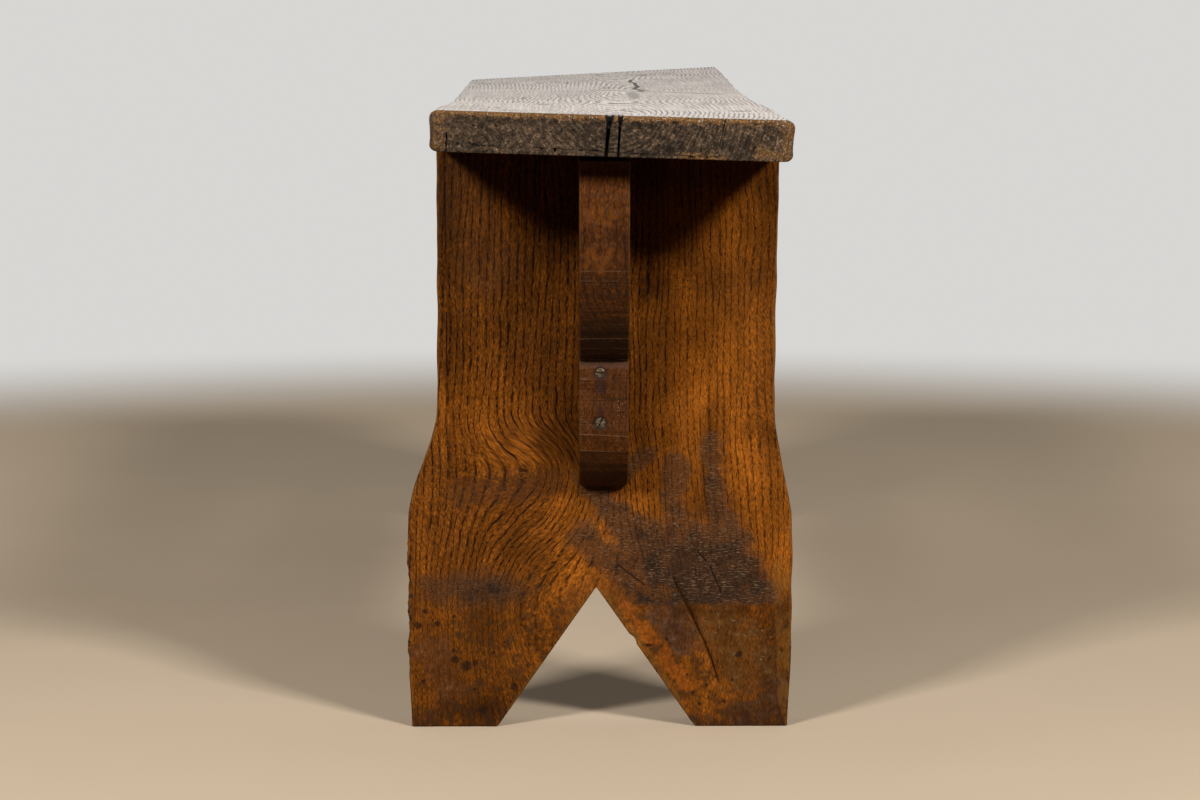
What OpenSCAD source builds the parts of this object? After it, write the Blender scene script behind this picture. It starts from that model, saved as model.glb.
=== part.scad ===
// Farmhouse bench: a twisted, waney-edged plank on two notched board legs,
// held apart by a hidden stretcher and stiffened by a bracket at each end.
// Millimetres. X runs along the bench, Z is up, and the origin is on the
// floor under the middle. The near end is at +X.

/* [Seat plank] */
// Length of the seat plank
seat_l = 1150; // [800:10:1800]
// Width of the seat plank at its near end
seat_w = 254; // [200:1:340]
// Thickness of the seat plank
seat_t = 29; // [24:0.5:45]
// Height of the middle of the seat's top face above the floor
seat_h = 457; // [400:1:520]
// Tilt of the seat across its width at the near end, in degrees
near_tilt = -1.74; // [-4:0.01:4]
// Tilt of the seat across its width at the far end, in degrees
far_tilt = 3; // [-4:0.01:4]
// Deepest draw-in of the plank's waney edges
edge_draw = 9; // [0:0.5:16]
// Rounding of the plank's long edges
seat_round = 5; // [1:0.5:9]
// Rounding of the plank's end edges
end_round = 3; // [1:0.5:6]

/* [Drying checks in the near end] */
// Width of the wide check at the end face
wide_check_w = 3.2; // [1:0.1:6]
// How far the wide check runs into the plank
wide_check_l = 58; // [20:1:90]
// Width of the narrow check at the end face
narrow_check_w = 2.2; // [1:0.1:4]
// How far the narrow check runs into the plank
narrow_check_l = 72; // [20:1:90]
// Distance of the wide check from the plank's middle line
wide_check_y = -2.7; // [-30:0.1:-2.4]
// Distance of the narrow check from the plank's middle line
narrow_check_y = 5.3; // [2:0.1:30]

/* [Legs] */
// Distance from the plank's end to the leg's outer face
overhang = 105; // [95:1:160]
// Thickness of the leg boards
leg_t = 34; // [26:1:45]
// How far the leg's top stands inside the plank's edge on its narrow side
leg_set_in = 2.5; // [0:0.5:10]
// How much the leg's waist is drawn in on its narrow side
waist_draw = 3.3; // [0:0.1:12]
// How far the foot flares out on its wide side
wide_flare = 23; // [8:0.5:40]
// How far the foot flares out on its narrow side
narrow_flare = 13.6; // [8:0.5:40]
// Height at which the wide side's flare starts
wide_neck_z = 245; // [220:1:300]
// Height at which the wide side's flare ends
wide_knee_z = 150; // [120:1:180]
// Height at which the narrow side's flare starts
narrow_neck_z = 238; // [220:1:300]
// Height at which the narrow side's flare ends
narrow_knee_z = 160; // [120:1:180]
// How much each foot tapers in again towards the floor
foot_taper = 2.6; // [0:0.1:8]
// Height at which the foot starts to taper in
foot_taper_z = 62; // [20:1:110]
// Height of the notch between the feet
notch_h = 105; // [60:1:150]
// Width of the notch at the floor
notch_w = 146.5; // [80:0.5:170]
// Distance of the notch from the plank's middle line
notch_y = -10.2; // [-20:0.1:20]
// Depth of the housing in the plank that holds the leg's top
housing_d = 6; // [3:0.5:10]

/* [Stretcher] */
// Thickness of the stretcher board
stretcher_t = 28; // [22:0.5:35]
// Height of the stretcher board
stretcher_h = 92; // [80:1:120]
// Height of the stretcher's lower edge above the floor
stretcher_z = 203; // [185:1:215]
// Distance of the stretcher and brackets from the plank's middle line
centre_y = -5; // [-12:0.1:12]
// Thickness of the stretcher's tenons
tenon_t = 18; // [12:0.5:20]
// Height of the stretcher's shoulders above and below its tenons
tenon_shoulder = 12; // [4:0.5:16]

/* [Brackets] */
// Thickness of the bracket boards
bracket_t = 36; // [28:0.5:50]
// Height of the bracket's lower end above the floor
bracket_z = 181; // [165:1:190]
// Shadow gap between the bracket and the plank
bracket_gap = 2.6; // [0.5:0.1:6]
// How far the bracket's head stands out from the leg
head_reach = 80; // [66:1:90]
// Height of the flat face on the bracket's head
head_face_h = 78; // [50:1:90]
// How far the bracket's neck stands out from the leg
neck_reach = 36; // [24:0.5:38]
// How far the bracket's nose stands out from the leg
nose_reach = 43; // [40:0.5:55]
// Height of the top of the bracket's nose above the floor
nose_top_z = 277; // [272:1:285]
// Height of the flat nose face's lower edge above the floor
nose_low_z = 224; // [218:1:226]
// Fall of the small ledge on top of the nose
ledge_fall = 3; // [1:0.5:8]
// Height of the slanted facet under the nose face
facet_h = 12; // [6:0.5:16]
// Depth of the slanted facet under the nose face
facet_d = 2.5; // [1:0.5:6]
// How far the bracket's lower end stands out from the leg
heel_reach = 4; // [1:0.5:10]
// How far the sloping heel bulges from a straight line
heel_bulge = 3; // [0:0.5:5]

/* [Screws and nails] */
// Diameter of the bracket screws' shanks
screw_d = 4.2; // [3:0.1:5]
// Length of the bracket screws
screw_l = 74; // [62:1:76]
// Diameter of the upper screw's head
upper_head_d = 7; // [6:0.1:9]
// Diameter of the lower screw's head
lower_head_d = 8; // [6:0.1:10]
// Thickness of the screw heads
screw_head_t = 2; // [1.2:0.1:3]
// Depth of the screw heads' tops below the nose face
screw_sink = 0.6; // [0.2:0.1:2]
// Wood left between the upper screws' holes and the top of the nose face
upper_screw_wall = 0.7; // [0.5:0.1:12]
// Height of the lower screws above the floor
lower_screw_z = 233; // [230:0.5:245]
// Distance of the screws from the bracket's middle, towards its left side
screw_off = 2.6; // [0:0.1:4]
// Width of the slots in the screw heads
slot_w = 1; // [0.6:0.1:1.5]
// Diameter of the seat nails' shanks
nail_d = 4; // [3:0.1:6]
// Length of the seat nails
nail_l = 64; // [50:1:80]
// Diameter of the seat nails' heads
nail_head_d = 8; // [7:0.1:12]
// Thickness of the seat nails' heads
nail_head_t = 1.6; // [1:0.1:3]
// Depth of the nail heads' tops below the seat
nail_sink = 0.8; // [0.4:0.1:2]
// Distance of the left nails from the plank's left side
left_nail_in = 39; // [30:1:60]
// Distance of the middle nails from the plank's middle line
middle_nail_y = 2; // [-20:1:20]
// Distance of the right nails from the plank's right side
right_nail_in = 35; // [30:1:60]

/* [Fit] */
// Clearance on each side of a tenon or a housed leg
joint_gap = 0.2; // [0:0.05:0.5]
// Clearance round a screw, nail or head
hole_gap = 0.3; // [0.2:0.05:0.6]
// How far the tenon's end stays behind the leg's outer face
tenon_back = 0.5; // [0.1:0.1:2]

/* [Hidden] */

// Sides of the round pieces
$fn = 48;
// Steps in each rounded edge of the plank
round_steps = 3;
// Stations along the plank between its end roundings
plank_stations = 30;
// Steps in each flare of a leg
flare_steps = 14;
// Steps in the bracket's belly and in its heel
belly_steps = 16;
heel_steps = 8;
// How far cuts run past what they cut
overrun = 2;
// Angle through which the bracket's belly turns under, in degrees
belly_turn = 58;

// Draw-in of the plank's two edges as shares of edge_draw, against the
// share of the plank's length from its far end
right_draw_shares = [
  [0, 0.07], [0.12, 0.28], [0.31, 0.59], [0.48, 0.97], [0.55, 1],
  [0.63, 0.96], [0.74, 0.8], [0.77, 0.55], [0.81, 0.12], [0.93, 0.2], [1, 0]
];
left_draw_shares = [
  [0, -0.4], [0.18, -0.06], [0.34, 0.12], [0.49, 0.36], [0.62, 0.48],
  [0.73, 0.58], [0.84, 0.6], [0.88, 0.1], [0.94, 0], [1, 0]
];
// Shape of the narrow side's flare: 1 is straight
narrow_flare_power_share = 1.25;
// Height of the narrow side's waist between its neck and the plank
waist_height_share = 0.12;

leg_out_x = seat_l / 2 - overhang;
leg_in_x = leg_out_x - leg_t;
leg_mid_x = leg_out_x - leg_t / 2;
tenon_h = stretcher_h - 2 * tenon_shoulder;
tenon_z = stretcher_z + tenon_shoulder;
housing_z = seat_h - seat_t + housing_d;
wide_side = seat_w / 2;
narrow_side = seat_w / 2 - leg_set_in;
nose_face_x = leg_out_x + nose_reach;
screw_y = centre_y - screw_off;
upper_screw_z = nose_top_z - ledge_fall - upper_screw_wall - hole_gap - upper_head_d / 2;
left_nail_y = left_nail_in - seat_w / 2;
right_nail_y = seat_w / 2 - right_nail_in;
nail_places = [left_nail_y, middle_nail_y, right_nail_y];

// Height of the underside of the plank at a place along the middle line
underside_z = seat_h - seat_t / cos(near_tilt);
bracket_top_z = underside_z - bracket_gap
  - abs(tan(near_tilt)) * (abs(centre_y) + bracket_t / 2);
head_low_z = bracket_top_z - head_face_h;

// Share of the plank's length at a place, from its far end
function length_share(x) = (x + seat_l / 2) / seat_l;

// Tilt of the plank across its width at a place along it
function tilt(x) = far_tilt + (near_tilt - far_tilt) * length_share(x);

// A point of the plank, from its place across and below the top face
function on_plank(x, y, down) = [
  x,
  y * cos(tilt(x)) + down * sin(tilt(x)),
  seat_h + y * sin(tilt(x)) - down * cos(tilt(x))
];

// Height of the plank's top face over a place
function top_z(x, y) = seat_h + y * tan(tilt(x));

// Quarter round of the plank's section, centred c, from angle a
function quarter(c, r, a) = [
  for (i = [0:round_steps])
    c + r * [cos(a + 90 * i / round_steps), sin(a + 90 * i / round_steps)]
];

// The plank's section, drawn in all round by inset: places across and down
function plank_section(x, inset) =
  let (
    share = length_share(x),
    l = inset + edge_draw * lookup(share, left_draw_shares) - seat_w / 2,
    r = seat_w / 2 - inset - edge_draw * lookup(share, right_draw_shares),
    a = inset + seat_round,
    b = seat_t - inset - seat_round
  )
  concat(
    quarter([r - seat_round, a], seat_round, -90),
    quarter([r - seat_round, b], seat_round, 0),
    quarter([l + seat_round, b], seat_round, 90),
    quarter([l + seat_round, a], seat_round, 180)
  );

// Stations of the plank: place along it, and inset at its rounded ends
end_inset_shares = [1, 0.29, 0];
end_back_shares = [0, 0.29, 1];
function end_stations(side) = [
  for (i = [0:len(end_inset_shares) - 1])
    [side * (seat_l / 2 - end_round * end_back_shares[i]),
     end_round * end_inset_shares[i]]
];
clear_l = seat_l - 2 * end_round;
far_stations = end_stations(-1);
near_stations = end_stations(1);
plank_places = concat(
  far_stations,
  [for (i = [1:plank_stations]) [clear_l * (i / (plank_stations + 1) - 1 / 2), 0]],
  [for (i = [len(near_stations) - 1:-1:0]) near_stations[i]]
);
section_points = 4 * (round_steps + 1);

module plank_blank() {
  rings = len(plank_places);
  n = section_points;
  points = [
    for (s = plank_places)
      for (p = plank_section(s[0], s[1]))
        on_plank(s[0], p[0], p[1])
  ];
  sides = [
    for (i = [0:rings - 2], j = [0:n - 1])
      let (k = (j + 1) % n, a = i * n, b = a + n)
        each [[a + j, a + k, b + k], [a + j, b + k, b + j]]
  ];
  last = (rings - 1) * n;
  far_cap = [for (j = [1:n - 2]) [0, j + 1, j]];
  near_cap = [for (j = [1:n - 2]) [last, last + j, last + j + 1]];
  polyhedron(points = points, faces = concat(sides, far_cap, near_cap));
}

// Housing for a leg's top, in the plank's underside at that leg's tilt
module housing(side) {
  x = side * leg_mid_x;
  run = seat_w + 2 * wide_flare;
  translate([x, 0, seat_h])
    rotate([tilt(x), 0, 0])
      translate([-leg_t / 2 - joint_gap, -run / 2, housing_d - seat_t - seat_t])
        cube([leg_t + 2 * joint_gap, run, seat_t]);
}

// Wedge-shaped drying check, open at the near end
module drying_check(y, w, l) {
  translate([seat_l / 2, y, seat_h - seat_t - overrun])
    linear_extrude(seat_t + 2 * overrun)
      polygon([[-l, 0], [overrun, -w / 2], [overrun, w / 2]]);
}

// Nail hole with the seat for its head
module nail_hole(side, y) {
  x = side * leg_mid_x;
  translate([x, y, nail_tip_z(x, y)])
    cylinder(h = nail_l, d = nail_d + 2 * hole_gap);
  translate([x, y, nail_seat_z(x, y)])
    cylinder(h = nail_sink + nail_head_t + seat_t,
      d = nail_head_d + 2 * hole_gap);
}

// Heights of a nail head's seat and of the end of its hole
function nail_seat_z(x, y) = top_z(x, y) - nail_sink - nail_head_t;
function nail_tip_z(x, y) = nail_seat_z(x, y) - nail_l;

module seat_plank() {
  color("#6b5540")
    difference() {
      plank_blank();
      for (side = [-1, 1]) {
        housing(side);
        for (y = nail_places) nail_hole(side, y);
      }
      drying_check(wide_check_y, wide_check_w, wide_check_l);
      drying_check(narrow_check_y, narrow_check_w, narrow_check_l);
    }
}

// Outline of the leg's wide side, from the floor up: distance out, height
function ease(t) = t * t * (3 - 2 * t);
wide_outline = concat(
  [[wide_side + wide_flare - foot_taper, 0], [wide_side + wide_flare, foot_taper_z]],
  [for (i = [0:flare_steps])
    let (t = i / flare_steps)
      [wide_side + wide_flare * (1 - ease(t)),
       wide_knee_z + (wide_neck_z - wide_knee_z) * t]],
  [[wide_side, seat_h]]
);

// The same for its narrow side, where the knee is a plain corner
waist_side = narrow_side - waist_draw;
waist_z = narrow_neck_z + (housing_z - narrow_neck_z) * waist_height_share;
narrow_outline = concat(
  [[waist_side + narrow_flare - foot_taper, 0],
   [waist_side + narrow_flare, foot_taper_z]],
  [for (i = [0:flare_steps])
    let (t = i / flare_steps)
      [waist_side + narrow_flare * pow(1 - t, narrow_flare_power_share),
       narrow_knee_z + (narrow_neck_z - narrow_knee_z) * t]],
  [[waist_side, waist_z], [narrow_side, seat_h]]
);

// Board of a leg: its wide side is at -Y on the near leg and at +Y on the
// far one, which was sawn to the same pattern and turned round
module leg_board(side) {
  wide = [for (p = wide_outline) [-side * p[0], p[1]]];
  narrow = [for (i = [len(narrow_outline) - 1:-1:0])
    [side * narrow_outline[i][0], narrow_outline[i][1]]];
  notch = [
    [side * (notch_y + notch_w / 2), 0],
    [side * notch_y, notch_h],
    [side * (notch_y - notch_w / 2), 0]
  ];
  translate([side * leg_mid_x - leg_t / 2, 0, 0])
    rotate([90, 0, 90])
      linear_extrude(leg_t)
        polygon(concat(wide, narrow, notch));
}

// Everything above the floor of the housing, at the leg's tilt
module above_housing(side) {
  x = side * leg_mid_x;
  run = 2 * (seat_w + wide_flare);
  translate([x, 0, seat_h])
    rotate([tilt(x), 0, 0])
      translate([-leg_t, -run / 2, housing_d - seat_t])
        cube([2 * leg_t, run, seat_h]);
}

// Mortise through a leg for the stretcher's tenon
module mortise(side) {
  translate([side * leg_mid_x - leg_t / 2 - overrun,
    centre_y - tenon_t / 2 - joint_gap, tenon_z - joint_gap])
    cube([leg_t + 2 * overrun, tenon_t + 2 * joint_gap, tenon_h + 2 * joint_gap]);
}

module leg(side) {
  color("#8a5426")
    difference() {
      leg_board(side);
      above_housing(side);
      mortise(side);
      for (y = nail_places) nail_hole(side, y);
    }
}

// Hole for a bracket screw, with the seat for its head
module screw_hole(side, z, head_d) {
  translate([side * nose_face_x, screw_y, z])
    rotate([0, -side * 90, 0]) {
      translate([0, 0, -overrun])
        cylinder(h = overrun + screw_sink + screw_head_t,
          d = head_d + 2 * hole_gap);
      cylinder(h = screw_sink + screw_l + hole_gap, d = screw_d + 2 * hole_gap);
    }
}

module screw_holes(side) {
  screw_hole(side, upper_screw_z, upper_head_d);
  screw_hole(side, lower_screw_z, lower_head_d);
}

module stretcher() {
  color("#7a4a24")
    difference() {
      union() {
        translate([-leg_in_x, centre_y - stretcher_t / 2, stretcher_z])
          cube([2 * leg_in_x, stretcher_t, stretcher_h]);
        translate([tenon_back - leg_out_x, centre_y - tenon_t / 2, tenon_z])
          cube([2 * (leg_out_x - tenon_back), tenon_t, tenon_h]);
      }
      for (side = [-1, 1]) screw_holes(side);
    }
}

// The bracket is seen from the side: distance out from the leg, height.
// Its heel falls from heel_top and bulges in the direction heel_out.
head_drop = head_low_z - nose_top_z;
heel_top = [nose_reach - facet_d, nose_low_z - facet_h];
heel_fall = heel_top - [heel_reach, bracket_z];
heel_out = [heel_fall[1], -heel_fall[0]] / norm(heel_fall);
bracket_outline = concat(
  [[0, bracket_z], [0, bracket_top_z], [head_reach, bracket_top_z]],
  [for (i = [0:belly_steps])
    let (a = belly_turn * i / belly_steps)
      [head_reach - (head_reach - neck_reach) * (1 - cos(a)) / (1 - cos(belly_turn)),
       head_low_z - head_drop * sin(a) / sin(belly_turn)]],
  [[nose_reach, nose_top_z - ledge_fall], [nose_reach, nose_low_z]],
  [for (i = [0:heel_steps])
    let (t = i / heel_steps)
      heel_top - heel_fall * t + heel_bulge * sin(180 * t) * heel_out]
);

module bracket(side) {
  color("#744622")
    difference() {
      translate([side * leg_out_x, centre_y + bracket_t / 2, 0])
        rotate([90, 0, 0])
          linear_extrude(bracket_t)
            polygon([for (p = bracket_outline) [side * p[0], p[1]]]);
      screw_holes(side);
    }
}

// Wood screw through the bracket's nose into the end of the tenon
module screw(side, z, head_d) {
  color("#77716a")
    translate([side * (nose_face_x - screw_sink), screw_y, z])
      rotate([0, -side * 90, 0])
        difference() {
          union() {
            cylinder(h = screw_head_t, d = head_d);
            cylinder(h = screw_l, d = screw_d);
          }
          translate([-head_d / 2 - overrun, -slot_w / 2, -overrun])
            cube([head_d + 2 * overrun, slot_w, overrun + screw_head_t / 2]);
        }
}

// Nail through the plank into the leg's top edge
module nail(side, y) {
  x = side * leg_mid_x;
  color("#3a3632") {
    translate([x, y, nail_tip_z(x, y) + hole_gap])
      cylinder(h = nail_l - hole_gap, d = nail_d);
    translate([x, y, nail_seat_z(x, y)])
      cylinder(h = nail_head_t, d = nail_head_d);
  }
}

seat_plank();
leg(1);  // near_leg
leg(-1);  // far_leg
stretcher();
bracket(1);  // near_bracket
bracket(-1);  // far_bracket
screw(1, upper_screw_z, upper_head_d);  // near_upper_screw
screw(1, lower_screw_z, lower_head_d);  // near_lower_screw
screw(-1, upper_screw_z, upper_head_d);  // far_upper_screw
screw(-1, lower_screw_z, lower_head_d);  // far_lower_screw
nail(1, left_nail_y);  // near_left_nail
nail(1, middle_nail_y);  // near_middle_nail
nail(1, right_nail_y);  // near_right_nail
nail(-1, left_nail_y);  // far_left_nail
nail(-1, middle_nail_y);  // far_middle_nail
nail(-1, right_nail_y);  // far_right_nail
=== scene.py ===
"""Farmhouse bench: worn, twisted plank on two notched board legs, with scrolled brackets."""

import math
from functools import partial, partialmethod, reduce

import bmesh
import bpy
import numpy as np
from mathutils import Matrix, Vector


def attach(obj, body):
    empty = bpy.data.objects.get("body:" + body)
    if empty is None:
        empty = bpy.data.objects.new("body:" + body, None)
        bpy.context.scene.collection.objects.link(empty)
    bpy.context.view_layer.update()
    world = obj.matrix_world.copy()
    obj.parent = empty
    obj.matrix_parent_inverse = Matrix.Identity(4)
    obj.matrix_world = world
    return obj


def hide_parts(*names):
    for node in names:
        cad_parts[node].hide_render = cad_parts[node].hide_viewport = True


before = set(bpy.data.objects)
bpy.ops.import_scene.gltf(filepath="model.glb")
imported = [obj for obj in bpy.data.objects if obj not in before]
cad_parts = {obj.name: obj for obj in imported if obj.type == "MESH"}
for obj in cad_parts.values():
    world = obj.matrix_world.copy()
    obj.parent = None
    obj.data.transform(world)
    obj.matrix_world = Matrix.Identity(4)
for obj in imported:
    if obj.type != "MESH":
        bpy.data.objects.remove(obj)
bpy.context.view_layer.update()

MM = 0.001

# Sizes of the bench in millimetres, as the CAD model has them
SEAT_L, SEAT_W, SEAT_T, SEAT_H = 1150, 254, 29, 457
NEAR_TILT, FAR_TILT = math.radians(-1.74), math.radians(3)
EDGE_DRAW = 9
RIGHT_DRAW = ((0, 0.07), (0.12, 0.28), (0.31, 0.59), (0.48, 0.97), (0.55, 1), (0.63, 0.96),
              (0.74, 0.8), (0.77, 0.55), (0.81, 0.12), (0.93, 0.2), (1, 0))
LEFT_DRAW = ((0, -0.4), (0.18, -0.06), (0.34, 0.12), (0.49, 0.36), (0.62, 0.48),
             (0.73, 0.58), (0.84, 0.6), (0.88, 0.1), (0.94, 0), (1, 0))
SEAT_ROUND, END_ROUND = 5, 3
OVERHANG, LEG_T = 105, 34
LEG_OUT = SEAT_L / 2 - OVERHANG
LEG_MID = LEG_OUT - LEG_T / 2
LEG_SET_IN, WAIST_DRAW, WAIST_HEIGHT_SHARE = 2.5, 3.3, 0.12
WIDE_FLARE, NARROW_FLARE, NARROW_POWER = 23, 13.6, 1.25
WIDE_NECK, WIDE_KNEE = 245, 150
NARROW_NECK, NARROW_KNEE = 238, 160
FOOT_TAPER, FOOT_TAPER_Z = 2.6, 62
NOTCH_H, NOTCH_W, NOTCH_Y = 105, 146.5, -10.2
HOUSING_D = 6
CENTRE_Y = -5
STRETCHER_T, STRETCHER_H, STRETCHER_Z = 28, 92, 203
TENON_T, TENON_SHOULDER, TENON_BACK = 18, 12, 0.5
BRACKET_T, BRACKET_Z, BRACKET_GAP = 36, 181, 2.6
HEAD_REACH, HEAD_FACE_H, NECK_REACH, NOSE_REACH = 80, 78, 36, 43
NOSE_TOP, NOSE_LOW, LEDGE_FALL = 277, 224, 3
FACET_H, FACET_D, HEEL_REACH, HEEL_BULGE = 12, 2.5, 4, 3
BELLY_TURN = math.radians(58)
SCREW_L, SCREW_D, SCREW_SINK, SCREW_Y = 74, 4.2, 0.6, -7.6
SCREWS = {"upper": (269.5, 7), "lower": (233, 8)}
NAIL_L, NAIL_D, NAIL_HEAD_D, NAIL_HEAD_T, NAIL_SINK = 64, 4, 8, 1.6, 0.8
NAILS = {"left": -88, "middle": 2, "right": 92}

HALF_CORNER_STEPS = 4


def smooth(t):
    """Smooth step from 0 to 1."""
    t = np.clip(t, 0, 1)
    return t * t * (3 - 2 * t)


def hill(t):
    """Bell of height 1 and half width 1."""
    return np.exp(-np.square(t) * math.log(2))


def ripple(seed, *places):
    """Smooth noise from -1 to 1 about, from coordinates already divided by its grain."""
    draw = np.random.default_rng(seed)
    total = 0
    waves = 14
    for _ in range(waves):
        way = draw.normal(size=len(places))
        turn = draw.uniform(0, 2 * math.pi)
        total = total + np.sin(2 * math.pi * sum(w * p for w, p in zip(way, places)) * 0.5 + turn)
    return total / math.sqrt(waves / 2) / 1.5


def tilt(x):
    """Tilt of the plank across its width, at a place along it."""
    return FAR_TILT + (NEAR_TILT - FAR_TILT) * (x + SEAT_L / 2) / SEAT_L


# Meshes

def make_mesh(name, points, faces, worn=None):
    """A mesh object from points in millimetres, rows of corner numbers, and wear at each point."""
    mesh = bpy.data.meshes.new(name)
    mesh.from_pydata((np.asarray(points) * MM).tolist(), [], [tuple(int(i) for i in f) for f in faces])
    if worn is not None:
        mesh.attributes.new("worn", "FLOAT", "POINT").data.foreach_set("value", np.asarray(worn, dtype=float))
    weld(mesh)
    mesh.validate()
    mesh.update()
    for polygon in mesh.polygons:
        polygon.use_smooth = True
    return add_object(name, mesh)


def add_object(name, data):
    """Puts an object with its data into the scene."""
    thing = bpy.data.objects.new(name, data)
    bpy.context.scene.collection.objects.link(thing)
    return thing


def weld(mesh):
    """Joins points that coincide and drops points that no face uses."""
    work = bmesh.new()
    work.from_mesh(mesh)
    bmesh.ops.remove_doubles(work, verts=work.verts, dist=0.002 * MM)
    loose = [v for v in work.verts if not v.link_faces]
    bmesh.ops.delete(work, geom=loose, context="VERTS")
    work.to_mesh(mesh)
    work.free()


def grid_faces(index, flip=False):
    """Four-cornered faces of a grid of point numbers."""
    a, b = index[:-1, :-1], index[1:, :-1]
    c, d = index[1:, 1:], index[:-1, 1:]
    order = (a, d, c, b) if flip else (a, b, c, d)
    return np.stack([o.ravel() for o in order], axis=1)


def edge_run(length, count, r, start_round=1, end_round=1, flat=None):
    """One side of a rounded box, from mid corner to mid corner: places along it and depths below it.

    A corner's roundness goes from 0, sharp and flat, to 1, a true quarter round. The places between
    the corners are even unless they are given."""
    turn = np.radians(np.linspace(45, 0, HALF_CORNER_STEPS + 1))
    along, deep = r * (1 - np.sin(turn)), r * (1 - np.cos(turn))
    least = along[0]

    def corner(roundness):
        drawn = along - (1 - roundness) * least * (r - along) / (r - least)
        return drawn, deep * roundness

    (start, start_deep), (end, end_deep) = corner(start_round), corner(end_round)
    if flat is None:
        flat = np.linspace(r, length - r, count - 2 * HALF_CORNER_STEPS)
    places = np.concatenate([start[:-1], flat, length - end[:-1][::-1]])
    depths = np.concatenate([start_deep[:-1], np.zeros(len(flat)), end_deep[:-1][::-1]])
    return places, depths


def box_ring(left, right, top, bottom, r, count_y, count_z, columns=None):
    """Outline of a rounded box: places across and down, clockwise from its top left corner.

    Columns gives the flat part's places across at a depth, where they aren't even."""
    over = None if columns is None else columns(top) - left
    under = None if columns is None else right - columns(bottom)[::-1]
    ay, dy = edge_run(right - left, count_y, r, flat=over)
    by, _ = edge_run(right - left, count_y, r, flat=under)
    az, dz = edge_run(bottom - top, count_z, r)
    sides = [
        np.stack([left + ay, top + dy], 1),
        np.stack([right - dz, top + az], 1),
        np.stack([right - by, bottom - dy], 1),
        np.stack([left + dz, bottom - az], 1),
    ]
    return np.concatenate([side[:-1] for side in sides])


def tube(rings, flip=False):
    """Faces round a tube of rings, and the number of each of its points."""
    count, around = np.shape(rings)[:2]
    index = np.arange(count * around).reshape(count, around)
    return grid_faces(np.concatenate([index, index[:, :1]], 1), flip), index


def cap(ring_index, ring, count_a, count_b, start):
    """Grid that fills a ring of four sides: its point numbers, and its new points from start on."""
    around = len(ring)
    side_a = np.arange(count_a)
    side_b = count_a - 1 + np.arange(count_b)
    side_c = (side_b[-1] + np.arange(count_a))[::-1] % around
    side_d = ((side_b[-1] + count_a - 1 + np.arange(count_b)) % around)[::-1]
    s = np.linspace(0, 1, count_a)[:, None, None]
    t = np.linspace(0, 1, count_b)[None, :, None]
    across = (1 - t) * ring[side_a][:, None] + t * ring[side_c][:, None]
    along = (1 - s) * ring[side_d][None] + s * ring[side_b][None]
    corners = ((1 - s) * (1 - t) * ring[side_a[0]] + s * (1 - t) * ring[side_a[-1]]
               + (1 - s) * t * ring[side_c[0]] + s * t * ring[side_c[-1]])
    fill = (across + along - corners)[1:-1, 1:-1]
    grid = np.full((count_a, count_b), -1)
    grid[:, 0], grid[:, -1] = ring_index[side_a], ring_index[side_c]
    grid[0, :], grid[-1, :] = ring_index[side_d], ring_index[side_b]
    grid[1:-1, 1:-1] = start + np.arange(fill.shape[0] * fill.shape[1]).reshape(fill.shape[:2])
    return grid, fill


def capped(rings, wears, flips, count_a, count_b, kept=None, fill_wear=0, start=0):
    """Points, wear, faces and the next free number of a tube with a grid over each end.

    Flips turn the faces of its sides and of its first end. Kept picks the sides' faces."""
    flip, first_flip = flips
    rings, wears = np.array(rings), np.array(wears)
    sides, index = tube(rings, flip)
    index = index + start
    sides = sides + start
    points, worn = [rings.reshape(-1, 3)], [wears.ravel()]
    faces = [sides if kept is None else sides.reshape(*kept.shape, 4)[kept]]
    start += wears.size
    for end, cap_flip in ((0, first_flip), (-1, not first_flip)):
        grid, fill = cap(index[end], rings[end], count_a, count_b, start)
        points.append(fill.reshape(-1, 3))
        worn.append(np.full(len(points[-1]), fill_wear))
        faces.append(grid_faces(grid, cap_flip))
        start += len(points[-1])
    return np.concatenate(points), np.concatenate(worn), np.concatenate(faces), start


# Seat plank

TOP_COUNT, SIDE_COUNT = 150, 18
COLUMN_STEP, FINE_COLUMNS = 2.3, 2.6
SIDE_FALL, CHECK_WINDOW = 55, 14
# Drying checks of the near end: middle, lean, width, top, bottom and depth
CHECKS = (
    (-2.7, 0.07, 2.7, -2, 31, 34),
    (5.3, 0.035, 1.6, -2, 31, 40),
    (76.2, 0.19, 0.5, -2, 17, 5),
    (-115, -0.02, 0.8, 16, 31, 6),
)
# Length and depth of the grooves that the checks leave in the plank's top and bottom
GROOVE_L, GROOVE_D = 13, 6
# Step between the rings in the middle of the plank
MIDDLE_STEP = 4.6
# How far the waney edges stand out past the plain ones
WANE_OUT = 0.9
# Rounding of the plank's near corners, seen from above
NEAR_LEFT_CORNER, NEAR_RIGHT_CORNER = 9, 5
# Depth of the hollows round the nail heads
NAIL_HOLLOW = 1.25
# Least depth of the worn top below the flat plank
LEAST_SWELL = 0.1
# How much the worn end edges keep of their full rounding, above and below
TOP_EDGE_SHARE, LOW_EDGE_SHARE = 0.7, 0.1


def draw_in(table, x):
    """How far the plank's edge is drawn in at a place along it."""
    share = (x + SEAT_L / 2) / SEAT_L
    return EDGE_DRAW * np.interp(share, [t[0] for t in table], [t[1] for t in table])


def corner_inset(r, from_end):
    """Inset of a rounded corner of radius r at a distance from the end."""
    short = np.maximum(r - from_end, 0)
    return r - np.sqrt(np.maximum(r * r - short * short, 0))


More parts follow.
